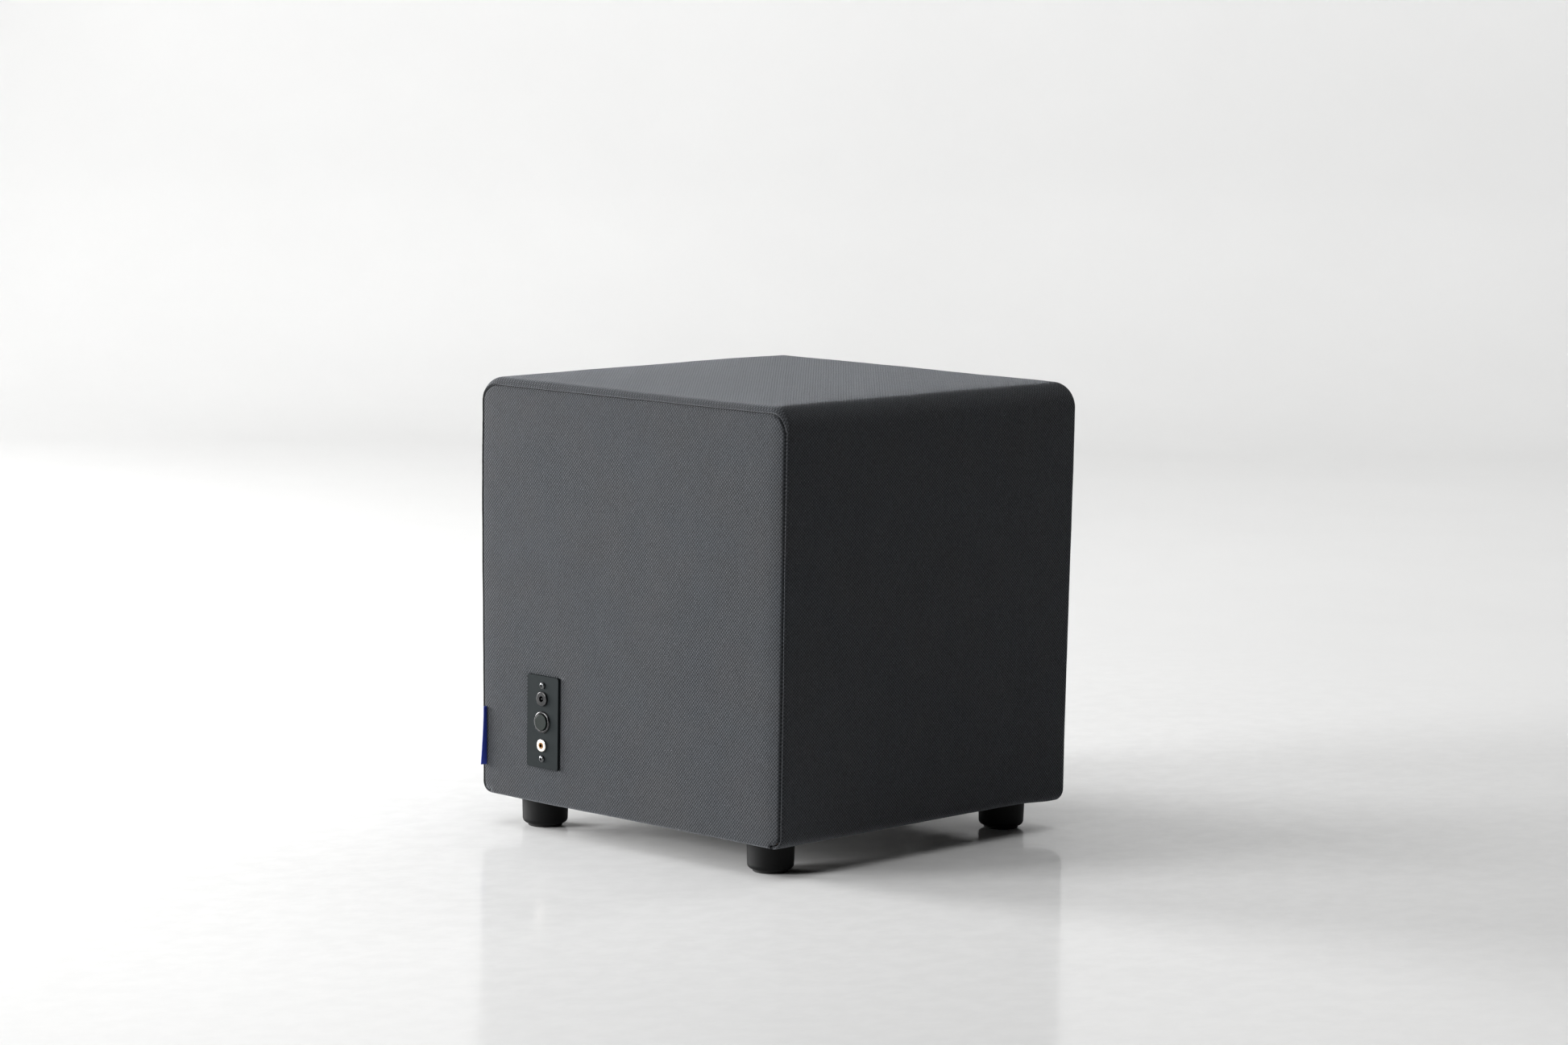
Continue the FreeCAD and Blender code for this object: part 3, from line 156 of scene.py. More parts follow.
class Shader:
    """A node material written as short formulas."""

    def __init__(self, name):
        self.material = bpy.data.materials.new(name)
        self.material.use_nodes = True
        self.tree = self.material.node_tree
        self.surface = self.tree.nodes["Principled BSDF"]

    def node(self, kind, inputs=None, **settings):
        made = self.tree.nodes.new(kind)
        for key, value in settings.items():
            setattr(made, key, value)
        for key, value in (inputs or {}).items():
            self.feed(made.inputs[key], value)
        return made

    def feed(self, socket, value):
        if isinstance(value, bpy.types.NodeSocket):
            self.tree.links.new(value, socket)
        else:
            socket.default_value = value

    def math(self, operation, first, second=0.0, third=0.0):
        made = self.tree.nodes.new("ShaderNodeMath")
        made.operation = operation
        for socket, value in zip(made.inputs, (first, second, third)):
            self.feed(socket, value)
        return made.outputs[0]

    def mix(self, share, first, second):
        made = self.tree.nodes.new("ShaderNodeMix")
        made.data_type = "RGBA"
        sockets = [s for s in made.inputs if s.type == "RGBA"]
        self.feed(made.inputs[0], share)
        self.feed(sockets[0], first)
        self.feed(sockets[1], second)
        return next(s for s in made.outputs if s.type == "RGBA")

    def noise(self, scale, detail=2.0, roughness=0.5, vector=None):
        made = self.node("ShaderNodeTexNoise", {"Scale": scale, "Detail": detail,
                                                "Roughness": roughness})
        self.feed(made.inputs["Vector"], vector or self.place())
        return made.outputs[0]

    def place(self):
        return self.node("ShaderNodeTexCoord").outputs["Object"]

    def ramp(self, value, low, high, out_low=0.0, out_high=1.0):
        return self.node("ShaderNodeMapRange", {
            "Value": value, "From Min": low, "From Max": high,
            "To Min": out_low, "To Max": out_high}).outputs[0]

    def bump(self, height, distance, strength=1.0):
        return self.node("ShaderNodeBump", {"Height": height, "Distance": distance,
                                            "Strength": strength}).outputs["Normal"]

    def finish(self, **values):
        """Set Principled inputs; an underscore in a name stands for a space."""
        for key, value in values.items():
            self.feed(self.surface.inputs[key.replace("_", " ")], value)
        return self.material


def colour(red, green, blue):
    """Opaque colour from three linear values."""
    return (red, green, blue, 1.0)


# Materials.

YARN_ACROSS = 1.65 * MM
YARN_ALONG = 1.8 * MM


def woven_material(name, dark, light, cast, sheen):
    """Coarse plain weave: every other crossing stands up, in slightly uneven yarn, and the sunk ones
    carry painted shade on top of their yarn's darker colour.
    """
    shader = Shader(name)
    sheet = shader.node("ShaderNodeUVMap", uv_map="Weave").outputs["UV"]
    parts = shader.node("ShaderNodeSeparateXYZ", {"Vector": sheet}).outputs
    drift = shader.noise(55.0, 3.0)
    across = shader.math("MULTIPLY_ADD", drift, 0.9, shader.math("DIVIDE", parts["X"], YARN_ACROSS))
    drift = shader.noise(48.0, 3.0)
    along = shader.math("MULTIPLY_ADD", drift, 0.9, shader.math("DIVIDE", parts["Y"], YARN_ALONG))
    wave = shader.math("MULTIPLY",
                       shader.math("SINE", shader.math("MULTIPLY", across, math.pi)),
                       shader.math("SINE", shader.math("MULTIPLY", along, math.pi)))
    crossing = shader.math("MULTIPLY_ADD", wave, 0.5, 0.5)
    yarn = shader.node("ShaderNodeCombineXYZ", {
        "X": shader.math("FLOOR", across), "Y": shader.math("FLOOR", along)}).outputs[0]
    slub = shader.node("ShaderNodeTexWhiteNoise", {"Vector": yarn}).outputs[0]
    fuzz = shader.noise(2400.0, 2.0, 0.7)
    mottle = shader.noise(26.0, 5.0, 0.62)
    # The colour follows the crossing's height: the sunk crossings' darker colour is partly their own
    # yarn and partly painted shade.
    tone = shader.math("MULTIPLY_ADD", crossing, 0.72, shader.math("MULTIPLY", slub, 0.20))
    tone = shader.math("MULTIPLY_ADD", fuzz, 0.30, tone)
    tone = shader.math("MULTIPLY_ADD", mottle, 0.18, tone)
    base = shader.mix(shader.ramp(tone, 0.20, 1.15), dark, light)
    hue = shader.ramp(shader.noise(14.0, 4.0, 0.65), 0.36, 0.66)
    tinted = shader.mix(hue, base, shader.node(
        "ShaderNodeVectorMath", {0: base, 1: cast}, operation="MULTIPLY").outputs[0])
    relief = shader.math("MULTIPLY_ADD", fuzz, 0.3, crossing)
    relief = shader.math("MULTIPLY_ADD", slub, 0.15, relief)
    return shader.finish(Base_Color=tinted, Roughness=0.9, Normal=shader.bump(relief, 0.5 * MM),
                         Sheen_Weight=sheen, Sheen_Roughness=0.35,
                         Sheen_Tint=colour(0.80, 0.84, 0.90), Specular_IOR_Level=0.2)


def plain_material(name, tint, roughness, metallic=0.0, grain=400.0, relief=0.03, uneven=0.25,
                   **extra):
    """Moulded, painted or metal finish with fine grain and handling marks."""
    shader = Shader(name)
    fine = shader.noise(grain, 3.0, 0.6)
    broad = shader.noise(18.0, 4.0, 0.55)
    shade = shader.math("MULTIPLY_ADD", fine, 0.5, shader.math("MULTIPLY", broad, 0.5))
    darker = colour(*(c * (1 - uneven) for c in tint))
    base = shader.mix(shade, darker, colour(*tint))
    worn = shader.math("MULTIPLY_ADD", broad, 0.16, roughness - 0.08)
    return shader.finish(Base_Color=base, Roughness=worn, Metallic=metallic,
                         Normal=shader.bump(fine, relief * MM), **extra)


def socket_material(name):
    """Black moulding whose front bush is plated like brass near its own axis."""
    low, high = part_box("audio_jack_nut")
    shader = Shader(name)
    parts = shader.node("ShaderNodeSeparateXYZ", {"Vector": shader.place()}).outputs
    across = shader.math("SUBTRACT", parts["X"], (low.x + high.x) / 2)
    above = shader.math("SUBTRACT", parts["Z"], (low.z + high.z) / 2)
    reach = shader.math("SQRT", shader.math("MULTIPLY_ADD", across, across,
                                            shader.math("MULTIPLY", above, above)))
    metal = shader.math("LESS_THAN", reach, 3.1 * MM)
    grain = shader.noise(1500.0, 3.0)
    brass = shader.mix(grain, colour(0.10, 0.045, 0.014), colour(0.24, 0.12, 0.045))
    return shader.finish(Base_Color=shader.mix(metal, colour(0.012, 0.012, 0.013), brass),
                         Metallic=metal, Roughness=shader.ramp(grain, 0.0, 1.0, 0.28, 0.42))


def ribbon_material():
    """Blue woven ribbon with fine ribs across it and a pale sheen."""
    shader = Shader("blue_ribbon")
    parts = shader.node("ShaderNodeSeparateXYZ", {"Vector": shader.place()}).outputs
    rib = shader.math("SINE", shader.math("MULTIPLY", parts["Z"], 2 * math.pi / (0.7 * MM)))
    grain = shader.noise(1800.0, 3.0)
    tone = shader.math("MULTIPLY_ADD", rib, 0.25, grain)
    base = shader.mix(shader.ramp(tone, 0.1, 0.9), colour(0.010, 0.022, 0.22),
                      colour(0.020, 0.050, 0.42))
    return shader.finish(Base_Color=base, Roughness=0.55, Normal=shader.bump(tone, 0.12 * MM),
                         Sheen_Weight=0.9, Sheen_Roughness=0.3, Sheen_Tint=colour(0.62, 0.70, 1.0))


def make_finishes():
    """Materials by the record's slot names."""
    return {
        "fibreboard": plain_material("fibreboard", (0.42, 0.30, 0.19), 0.85, grain=900, relief=0.1),
        "foam": plain_material("foam", (0.10, 0.10, 0.11), 0.95, grain=1500, relief=0.5),
        # The darker colour is that of the sunk crossings, partly their yarn and partly painted shade.
        "grey_fabric": woven_material("grey_fabric", colour(0.0150, 0.0163, 0.0181),
                                      colour(0.0515, 0.0562, 0.0632), (1.05, 1.0, 0.965), 0.34),
        "blue_ribbon": ribbon_material(),
        "dust_cloth": woven_material("dust_cloth", colour(0.011, 0.008, 0.006),
                                     colour(0.034, 0.025, 0.020), (1.0, 1.0, 1.0), 0.2),
        "zinc_steel": plain_material("zinc_steel", (0.55, 0.56, 0.58), 0.32, 1.0, grain=700),
        "slate_plastic": plain_material("slate_plastic", (0.0125, 0.0160, 0.0170), 0.55, grain=2200,
                                        relief=0.035, uneven=0.12, Specular_IOR_Level=0.05),
        "black_rubber": plain_material("black_rubber", (0.012, 0.012, 0.012), 0.8, grain=900,
                                       Specular_IOR_Level=0.25),
        "black_plastic": plain_material("black_plastic", (0.0060, 0.0063, 0.0065), 0.60, grain=1500,
                                        Specular_IOR_Level=0.14),
        "black_steel": plain_material("black_steel", (0.02, 0.02, 0.021), 0.4, 0.5, grain=900),
        "gloss_black": plain_material("gloss_black", (0.008, 0.008, 0.009), 0.2, grain=600,
                                      relief=0.004),
        "brass": plain_material("brass", (0.60, 0.42, 0.20), 0.3, 1.0, grain=900),
        "nickel": plain_material("nickel", (0.72, 0.69, 0.65), 0.3, 1.0, grain=700, relief=0.01,
                                 uneven=0.06),
        "circuit_board": plain_material("circuit_board", (0.02, 0.12, 0.05), 0.4, grain=300),
        "cable_sleeve": plain_material("cable_sleeve", (0.012, 0.012, 0.012), 0.5, grain=500),
        "cast_aluminium": plain_material("cast_aluminium", (0.30, 0.31, 0.32), 0.5, 1.0, grain=900,
                                         relief=0.08),
        "ferrite": plain_material("ferrite", (0.03, 0.03, 0.033), 0.6, grain=500, relief=0.1),
        "aluminium_foil": plain_material("aluminium_foil", (0.75, 0.76, 0.77), 0.3, 1.0),
        "copper": plain_material("copper", (0.60, 0.22, 0.08), 0.35, 1.0, grain=900),
        "black_paper": plain_material("black_paper", (0.015, 0.015, 0.015), 0.9, grain=1200,
                                      relief=0.2),
        "spider_cloth": plain_material("spider_cloth", (0.40, 0.26, 0.10), 0.85, grain=1500,
                                       relief=0.2),
        "nylon": plain_material("nylon", (0.75, 0.75, 0.72), 0.45, grain=500),
        "capacitor_can": plain_material("capacitor_can", (0.02, 0.025, 0.06), 0.35, grain=500),
    }


def dress_nodes(finishes):
    """Give every CAD node the finish of its material slot."""
    slots = {part["node"]: part["material_slot"] for part in frame["record"]["subparts"]}
    for name, node in NODES.items():
        node.data.materials.clear()
        node.data.materials.append(finishes[slots[name]])
    NODES["audio_jack_body"].data.materials[0] = socket_material("audio_socket")
    NODES["dc_centre_pin"].data.materials[0] = finishes["black_steel"]
    NODES["dc_socket"].data.materials[0] = finishes["gloss_black"]
    NODES["button_bezel"].data.materials[0] = finishes["gloss_black"]
    NODES["button_cap"].data.materials[0] = plain_material(
        "green_black", (0.0070, 0.0115, 0.0095), 0.38, grain=1200, Specular_IOR_Level=0.12)
    NODES["plate_screws"].data.materials[0] = plain_material(
        "dark_chrome", (0.15, 0.155, 0.16), 0.3, 1.0, grain=900, relief=0.01)


# Outline of the cube, seen from the front.

NEAR_SEAM = np.array([0, 0.3, 0.7, 1.2, 1.8, 2.6, 3.6, 5, 7, 10, 14, 18]) * MM
TURN = np.radians([0, 2.5, 6, 10, 15, 21, 28, 37, 47, 58, 70, 80, 90])


def outline(half, low, high, upper, lower, counts):
    """Closed rounded square from its bottom middle, and the direction out of it."""
    flat, corner, side, top = counts
    corners = [
        (half - lower, low + lower, lower, -90, side),
        (half - upper, high - upper, upper, 0, top),
        (upper - half, high - upper, upper, 90, side),
        (lower - half, low + lower, lower, 180, flat),
    ]
    points = [np.array([0.0, low])]
    outward = [np.array([0.0, -1.0])]
    run = flat
    for x, z, radius, first, after in corners:
        angles = np.radians(first + 90.0 * np.arange(corner + 1) / corner)
        normal = np.stack([np.cos(angles), np.sin(angles)], 1)
        bend = np.array([x, z]) + radius * normal
        start = points[-1]
        for share in np.arange(1, run) / run:
            points.append(start * (1 - share) + bend[0] * share)
            outward.append(normal[0])
        points.extend(bend)
        outward.extend(normal)
        run = after
    start = points[-1]
    for share in np.arange(1, flat) / flat:
        points.append(start * (1 - share) + points[0] * share)
        outward.append(outward[0])
    return np.array(points), np.array(outward)


OUTLINE_COUNTS = (40, 14, 76, 72)
EDGE, OUTWARD = outline(HALF_X, BODY_LOW, BODY_HIGH, TOP_RADIUS, BOTTOM_RADIUS, OUTLINE_COUNTS)
SEAM, _ = outline(HALF_X - INSET_SIDE, BODY_LOW + HEM_ROLL, BODY_HIGH - INSET_TOP,
                  SEAM_RADIUS, SEAM_BOTTOM_RADIUS, OUTLINE_COUNTS)


def seam_line(sign):
    """The sewn line of one face, wandering slightly, as points in the XZ plane."""
    sample = np.stack([SEAM[:, 0], np.full(len(SEAM), sign), SEAM[:, 1]], 1)
    upper = smooth((OUTWARD[:, 1] - 0.4) / 0.5)
    shift = 0.35 * MM * wander(sample, 14.0, 3.0) + 0.25 * MM * wander(sample, 45.0, 9.0)
    shift = shift + upper * SEAM_SPREAD * SEAM[:, 0] / HALF_X
    return SEAM + OUTWARD * shift[:, None] + np.array([SEAM_SHIFT, 0.0])


def sewn_share(points):
    """1 where the seam's groove shows, fading out under the base."""
    return smooth((points[:, 1] - BODY_LOW - 1.5 * MM) / (3 * MM))


def taper(points):
    """Fabric is fuller near the top than near the bottom: a factor for X and Y."""
    height = smooth((points[:, 2] - BODY_LOW - 20 * MM) / (BODY_HEIGHT - 60 * MM))
    grow = (TAPER_LOW + (TAPER_HIGH - TAPER_LOW) * height) / HALF_X
    fuller = points.copy()
    fuller[:, 0] *= 1 + grow
    fuller[:, 1] *= 1 + grow
    return fuller


def panel_roll(points):
    """Depth of the panel's edge: it pulls in most along its right-hand seam."""
    right = smooth((points[:, 0] - 0.75 * HALF_X) / (0.2 * HALF_X))
    return PANEL_ROLL + (PANEL_ROLL_RIGHT - PANEL_ROLL) * right


def notch_depth(points):
    """The sewn groove is shallower down the left side."""
    left = smooth((-points[:, 0] - 0.9 * HALF_X) / (0.08 * HALF_X))
    return NOTCH * (1 - 0.6 * left)


def panel_dip(distance, points):
    """How far a flat panel sinks on its way into the seam."""
    roll = panel_roll(points) * np.exp(-(distance / PANEL_ROLL_REACH) ** 1.2)
    return roll + notch_depth(points) * np.exp(-(distance / NOTCH_IN_PANEL) ** 2)


def band_dip(distance, points):
    """The band starts level with the panel's rolled edge: a groove, then a thin ridge."""
    notch = notch_depth(points) * np.exp(-(distance / NOTCH_IN_BAND) ** 2)
    ridge = RIDGE * np.exp(-((distance - RIDGE_FROM_SEAM) / RIDGE_WIDTH) ** 2)
    return panel_roll(points) + notch - ridge


# Cloth simulation: how far the padding pushes the fabric out between its seams.

SWELL_CELLS = 30
SWELL_FRAMES = 60
SWELL_MOST = 1.5 * MM


def swell_mesh():
    """Coarse closed box of fabric, as a grid on each of its six faces."""
    work = bmesh.new()
    bmesh.ops.create_cube(work, size=1.0)
    bmesh.ops.subdivide_edges(work, edges=work.edges[:], cuts=SWELL_CELLS - 1, use_grid_fill=True)
    for vert in work.verts:
        vert.co.x *= 2 * HALF_X
        vert.co.y *= 2 * HALF_Y
        vert.co.z = (vert.co.z + 0.5) * BODY_HEIGHT + BODY_LOW
    mesh = bpy.data.meshes.new("swell")
    work.to_mesh(mesh)
    work.free()
    return link("swell", mesh)


def near_seam(place):
    """True where the coarse fabric is held: at its seams and under the base."""
    on_face = abs(place.y) > HALF_Y - 1 * MM
    side = abs(place.x) > HALF_X - 1 * MM or place.z > BODY_HIGH - 1 * MM
    return (on_face and side) or place.z < BODY_LOW + 1 * MM


def simulate_swell():
    """Run the cloth, and return its rest points and how far each one moved."""
    body = swell_mesh()
    rest = [vert.co.copy() for vert in body.data.vertices]
    pins = body.vertex_groups.new(name="sewn")
    pins.add([i for i, co in enumerate(rest) if near_seam(co)], 1.0, "REPLACE")
    for index, vert in enumerate(body.data.vertices):
        vert.co += 0.25 * MM * Vector(noise.noise_vector(rest[index] * 30.0))
    cloth = body.modifiers.new("Cloth", "CLOTH")
    cloth.settings.vertex_group_mass = "sewn"
    cloth.settings.quality = 6
    cloth.settings.mass = 0.3
    cloth.settings.air_damping = 8
    cloth.settings.tension_stiffness = 40
    cloth.settings.compression_stiffness = 40
    cloth.settings.shear_stiffness = 12
    cloth.settings.bending_stiffness = 0.8
    cloth.settings.use_pressure = True
    cloth.settings.uniform_pressure_force = 0.2
    cloth.settings.effector_weights.gravity = 0.0
    cloth.collision_settings.use_collision = False
    cloth.point_cache.frame_start = 1
    cloth.point_cache.frame_end = SWELL_FRAMES
    scene = bpy.context.scene
    for number in range(1, SWELL_FRAMES + 1):
        scene.frame_set(number)
    graph = bpy.context.evaluated_depsgraph_get()
    result = body.evaluated_get(graph).to_mesh()
    moved = [result.vertices[i].co - rest[i] for i in range(len(rest))]
    scene.frame_set(1)
    bpy.data.objects.remove(body)
    return rest, moved


def make_swell():
    """Return a function that gives the fabric's shift at a point, SWELL_MOST at its fullest."""
    rest, moved = simulate_swell()
    tree = kdtree.KDTree(len(rest))
    for index, place in enumerate(rest):
        tree.insert(place, index)
    tree.balance()
    reach = 1.1 * 2 * HALF_X / SWELL_CELLS
    gain = SWELL_MOST / max(shift.length for shift in moved)

    def swell(points):
        shifts = np.zeros_like(points)
        for row, point in enumerate(points):
            total = 0.0
            shift = Vector((0, 0, 0))
            for _, index, distance in tree.find_n(Vector(point), 9):
                weight = math.exp(-(distance / reach) ** 2)
                total += weight
                shift += weight * moved[index]
            shifts[row] = gain * shift / total
        return shifts

    return swell


# Fabric cover: a front panel, a rear panel and a band sewn between them.

def grid_lines(low, high, near_low, near_high, extra=(), pitch=4.5 * MM):
    """Lines across a panel: close together near its seams, even elsewhere."""
    ends = (NEAR_SEAM if near_low else np.array([0.0]), NEAR_SEAM if near_high else np.array([0.0]))
    first = low + ends[0]
    last = high - ends[1][::-1]
    count = int(round((last[0] - first[-1]) / pitch))
    even = np.linspace(first[-1], last[0], count + 1)[1:-1]
    kept = [v for v in even if all(abs(v - e) > 0.3 * pitch for e in extra)]
    return np.array(sorted([*first, *kept, *extra, *last]))


def round_corner(x, z, half, low, high, upper, lower):
    """Squeeze the corners of a square grid into arcs, and return the depth from the edge."""
    inside = min(half - abs(x), high - z)
    for centre_z, radius, above in ((high - upper, upper, 1), (low + lower, lower, -1)):
        dx = abs(x) - (half - radius)
        dz = (z - centre_z) * above
        if dx > 0 and dz > 0:
            reach = max(dx, dz)
            scale = reach / math.hypot(dx, dz)
            inside = radius - reach if above > 0 else inside
            return math.copysign(half - radius + dx * scale, x), centre_z + above * dz * scale, inside
    return x, z, inside


def build_panel(name, sign, node, material, swell, opening=None):
    """Flat panel inside the sewn line, and its turned edge round the bottom."""
    line = seam_line(sign)
    half = HALF_X - INSET_SIDE
    low = BODY_LOW + HEM_ROLL
    high = BODY_HIGH - INSET_TOP
    holes = opening or ((), ())
    columns = grid_lines(-half, half, True, True, holes[0])
    rows = grid_lines(low, high, False, True, holes[1])
    points = []
    uvs = []
    depth_in = []
    for z in rows:
        for x in columns:
            new_x, new_z, inside = round_corner(x, z, half, low, high, SEAM_RADIUS,
                                                SEAM_BOTTOM_RADIUS)
            points.append((new_x, 0.0, new_z))
            uvs.append((new_x, new_z))
            depth_in.append(inside)
    points = np.array(points)
    inside = np.array(depth_in)
    shift = line_shift(points, line, inside)
    points = points + shift
    dip = panel_dip(np.maximum(inside, 0), points) * sewn_share(points[:, [0, 2]])
    points[:, 1] = sign * (HALF_Y - dip)
    across = len(columns)
    faces = []
    for row in range(len(rows) - 1):
        for column in range(across - 1):
            if opening and in_opening(columns, rows, column, row, opening):
                continue
            first = row * across + column
            faces.append((first, first + 1, first + across + 1, first + across))
    straight = half - SEAM_BOTTOM_RADIUS
    hem = [i for i, x in enumerate(columns) if abs(x) <= straight + 1e-6]
    steps = []
    for angle in np.radians([15, 30, 45, 60, 75, 90]):
        steps.append((HEM_ROLL * math.sin(angle), HEM_ROLL * (1 - math.cos(angle)),
                      HEM_ROLL * angle))
    for share in (0.3, 0.65, 1.0):
        steps.append((HEM_ROLL - 0.4 * MM * share, HEM_ROLL + TURNED_EDGE * share,
                      HEM_ROLL * math.pi / 2 + TURNED_EDGE * share))
    lower = hem
    for fall, inward, run in steps:
        start = len(points)
        row_points = points[hem].copy()
        row_points[:, 2] = low - fall
        row_points[:, 1] = sign * (HALF_Y - inward)
        points = np.concatenate([points, row_points])
        uvs.extend((points[i][0], low - run) for i in hem)
        current = list(range(start, start + len(hem)))
        for i in range(len(hem) - 1):
            faces.append((current[i], current[i + 1], lower[i + 1], lower[i]))
        lower = current
    points = finish_fabric(points, swell)
    if opening:
        points = press_under_plate(points)
    if sign > 0:
        faces = [face[::-1] for face in faces]
    panel = mesh_object(name, points, faces, uvs)
    return finish_sheet(panel, material, node)


def line_shift(points, line, inside):
    """Move the grid's outer lines on to the wandering seam, fading inwards."""
    tree = kdtree.KDTree(len(SEAM))
    for index, place in enumerate(SEAM):
        tree.insert(Vector((place[0], 0, place[1])), index)
    tree.balance()
    shifts = np.zeros_like(points)
    for row, point in enumerate(points):
        if inside[row] < 30 * MM:
            _, index, _ = tree.find(Vector((point[0], 0, point[2])))
            fade = float(1 - smooth(inside[row] / (30 * MM)))
            offset = (line[index] - SEAM[index]) * fade
            shifts[row] = (offset[0], 0.0, offset[1])
    return shifts


def in_opening(columns, rows, column, row, opening):
    """Whether the middle of a panel's cell lies in the opening for the control plate."""
    middle_x = (columns[column] + columns[column + 1]) / 2
    middle_z = (rows[row] + rows[row + 1]) / 2
    return (opening[0][0] < middle_x < opening[0][1]) and (opening[1][0] < middle_z < opening[1][1])


def press_under_plate(points):
    """The control plate presses the padding in round its edge."""
    low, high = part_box("control_plate")
    outside_x = np.maximum(np.maximum(low.x - points[:, 0], points[:, 0] - high.x), 0)
    outside_z = np.maximum(np.maximum(low.z - points[:, 2], points[:, 2] - high.z), 0)
    away = np.hypot(outside_x, outside_z)
    seat = -(high.y - 0.3 * MM)
    press = 1 - smooth(away / (7 * MM))
    front = points[:, 1] < -HALF_Y + 5 * MM
    pressed = points.copy()
    target = np.minimum(-points[:, 1], seat)
    pressed[:, 1] = np.where(front, -(-points[:, 1] * (1 - press) + target * press), points[:, 1])
    return pressed


def finish_fabric(points, swell):
    """Add the padding's swell, the taper and faint puckers to the fabric."""
    moved = points + swell(points)
    moved = taper(moved)
    gather = wander(points, 30.0, 5.0) * PUCKER_FINE + wander(points, 9.0, 2.0) * PUCKER_BROAD
    centre = np.array([0.0, 0.0, (BODY_LOW + BODY_HIGH) / 2])
    away = points - centre
    face = np.abs(away) / np.array([HALF_X, HALF_Y, BODY_HEIGHT / 2])
    strongest = np.argmax(face, axis=1)
    for axis in range(3):
        rows = strongest == axis
        moved[rows, axis] += gather[rows] * np.sign(away[rows, axis])
    moved[:, 2] -= corner_droop(points)
    return moved


def corner_droop(points):
    """The hem hangs lower towards the rear right-hand corner."""
    near_right = smooth((points[:, 0] - 0.6 * HALF_X) / (0.35 * HALF_X))
    near_rear = smooth((points[:, 1] - 0.70 * HALF_Y) / (0.25 * HALF_Y))
    low = 1 - smooth((points[:, 2] - BODY_LOW) / (40 * MM))
    return DROOP * near_right * near_rear * low


def build_band(material, swell):
    """Strip over the left, top and right, turned in under the base."""
    rings = []
    for sign in (-1.0, 1.0):
        line = seam_line(sign)
        sewn = sewn_share(line)
        upper = np.clip(OUTWARD[:, 1], 0.0, 1.0) ** 2
        roll = ROLL_SIDE + (ROLL_TOP - ROLL_SIDE) * upper
        side_rings = []
        for angle in TURN:
            place = EDGE * math.sin(angle) + line * (1 - math.sin(angle))
            reach = np.linalg.norm(EDGE - line, axis=1)
            distance = angle * (reach + roll) / 2
            dip = band_dip(distance, line) * sewn
            depth = sign * (HALF_Y - roll * (1 - math.cos(angle)) - dip)
            side_rings.append(np.stack([place[:, 0], depth, place[:, 1]], 1))
        rings.append(side_rings)
    steps = 86
    front, rear = rings[0][-1], rings[1][-1]
    middle = [front * (1 - share) + rear * share for share in np.arange(1, steps) / steps]
    across = rings[0] + middle + rings[1][::-1]
    count = len(EDGE)
    points = np.concatenate(across)
    length = np.concatenate([[0.0], np.cumsum(np.linalg.norm(np.diff(EDGE, axis=0), axis=1))])
    width = [0.0]
    for before, after in zip(across, across[1:]):
        width.append(width[-1] + float(np.median(np.linalg.norm(after - before, axis=1))))
    uvs = np.concatenate([np.stack([length, np.full(count, w)], 1) for w in width])
    tucked = np.abs(EDGE[:, 0]) < HALF_X - BOTTOM_RADIUS
    under = tucked & (OUTWARD[:, 1] < -0.999)
    reach = HALF_X - BOTTOM_RADIUS - 9 * MM
    faces = []
    for ring in range(len(across) - 1):
        for index in range(count):
            after = (index + 1) % count
            if under[index] or under[after]:
                if min(abs(EDGE[index][0]), abs(EDGE[after][0])) < reach:
                    continue
            first = ring * count
            faces.append((first + index, first + count + index, first + count + after,
                          first + after))
    points[:, 2] += np.tile(under, len(across)) * HEM_LIFT
    points = finish_fabric(points, swell)
    band = mesh_object("cover_strip", points, faces, uvs)
    return finish_sheet(band, material, "cover_band")


def finish_sheet(sheet, material, node):
    """Drop unused points and give the cloth its thickness."""
    work = bmesh.new()
    work.from_mesh(sheet.data)
    bmesh.ops.delete(work, geom=[v for v in work.verts if not v.link_faces], context="VERTS")
    work.to_mesh(sheet.data)
    work.free()
    solid = sheet.modifiers.new("Thickness", "SOLIDIFY")
    solid.thickness = CLOTH
    solid.offset = -1.0
    return dress(sheet, material, nodes=[node])


def build_padding(material):
    """Foam pads, trimmed back at the seams so that the fabric can pull in over them."""
    middle = Vector((0, 0, (BODY_LOW + BODY_HIGH) / 2))
    for side, thin in (("front", 1), ("rear", 1), ("left", 0), ("right", 0), ("top", 2)):
        node = NODES[f"foam_{side}"]
        low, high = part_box(node.name)
        outer_is_high = (low + high)[thin] / 2 > middle[thin]
        pad = link(f"pad_{side}", node.data.copy())
        for vert in pad.data.vertices:
            for axis in range(3):
                outer_low = PAD_TRIM if axis != thin else (0.0 if outer_is_high else PAD_SINK)
                outer_high = PAD_TRIM if axis != thin else (PAD_SINK if outer_is_high else 0.0)
                if vert.co[axis] < low[axis] + 1 * MM:
                    vert.co[axis] += outer_low
                elif vert.co[axis] > high[axis] - 1 * MM:
                    vert.co[axis] -= outer_high
        edge = pad.modifiers.new("Cut edge", "BEVEL")
        edge.width = PAD_EDGE
        edge.segments = 3
        edge.limit_method = "ANGLE"
        dress(pad, material, nodes=[node.name])


STITCH_PITCH = 3.0 * MM
STITCH_RAISED = 0.6 * MM


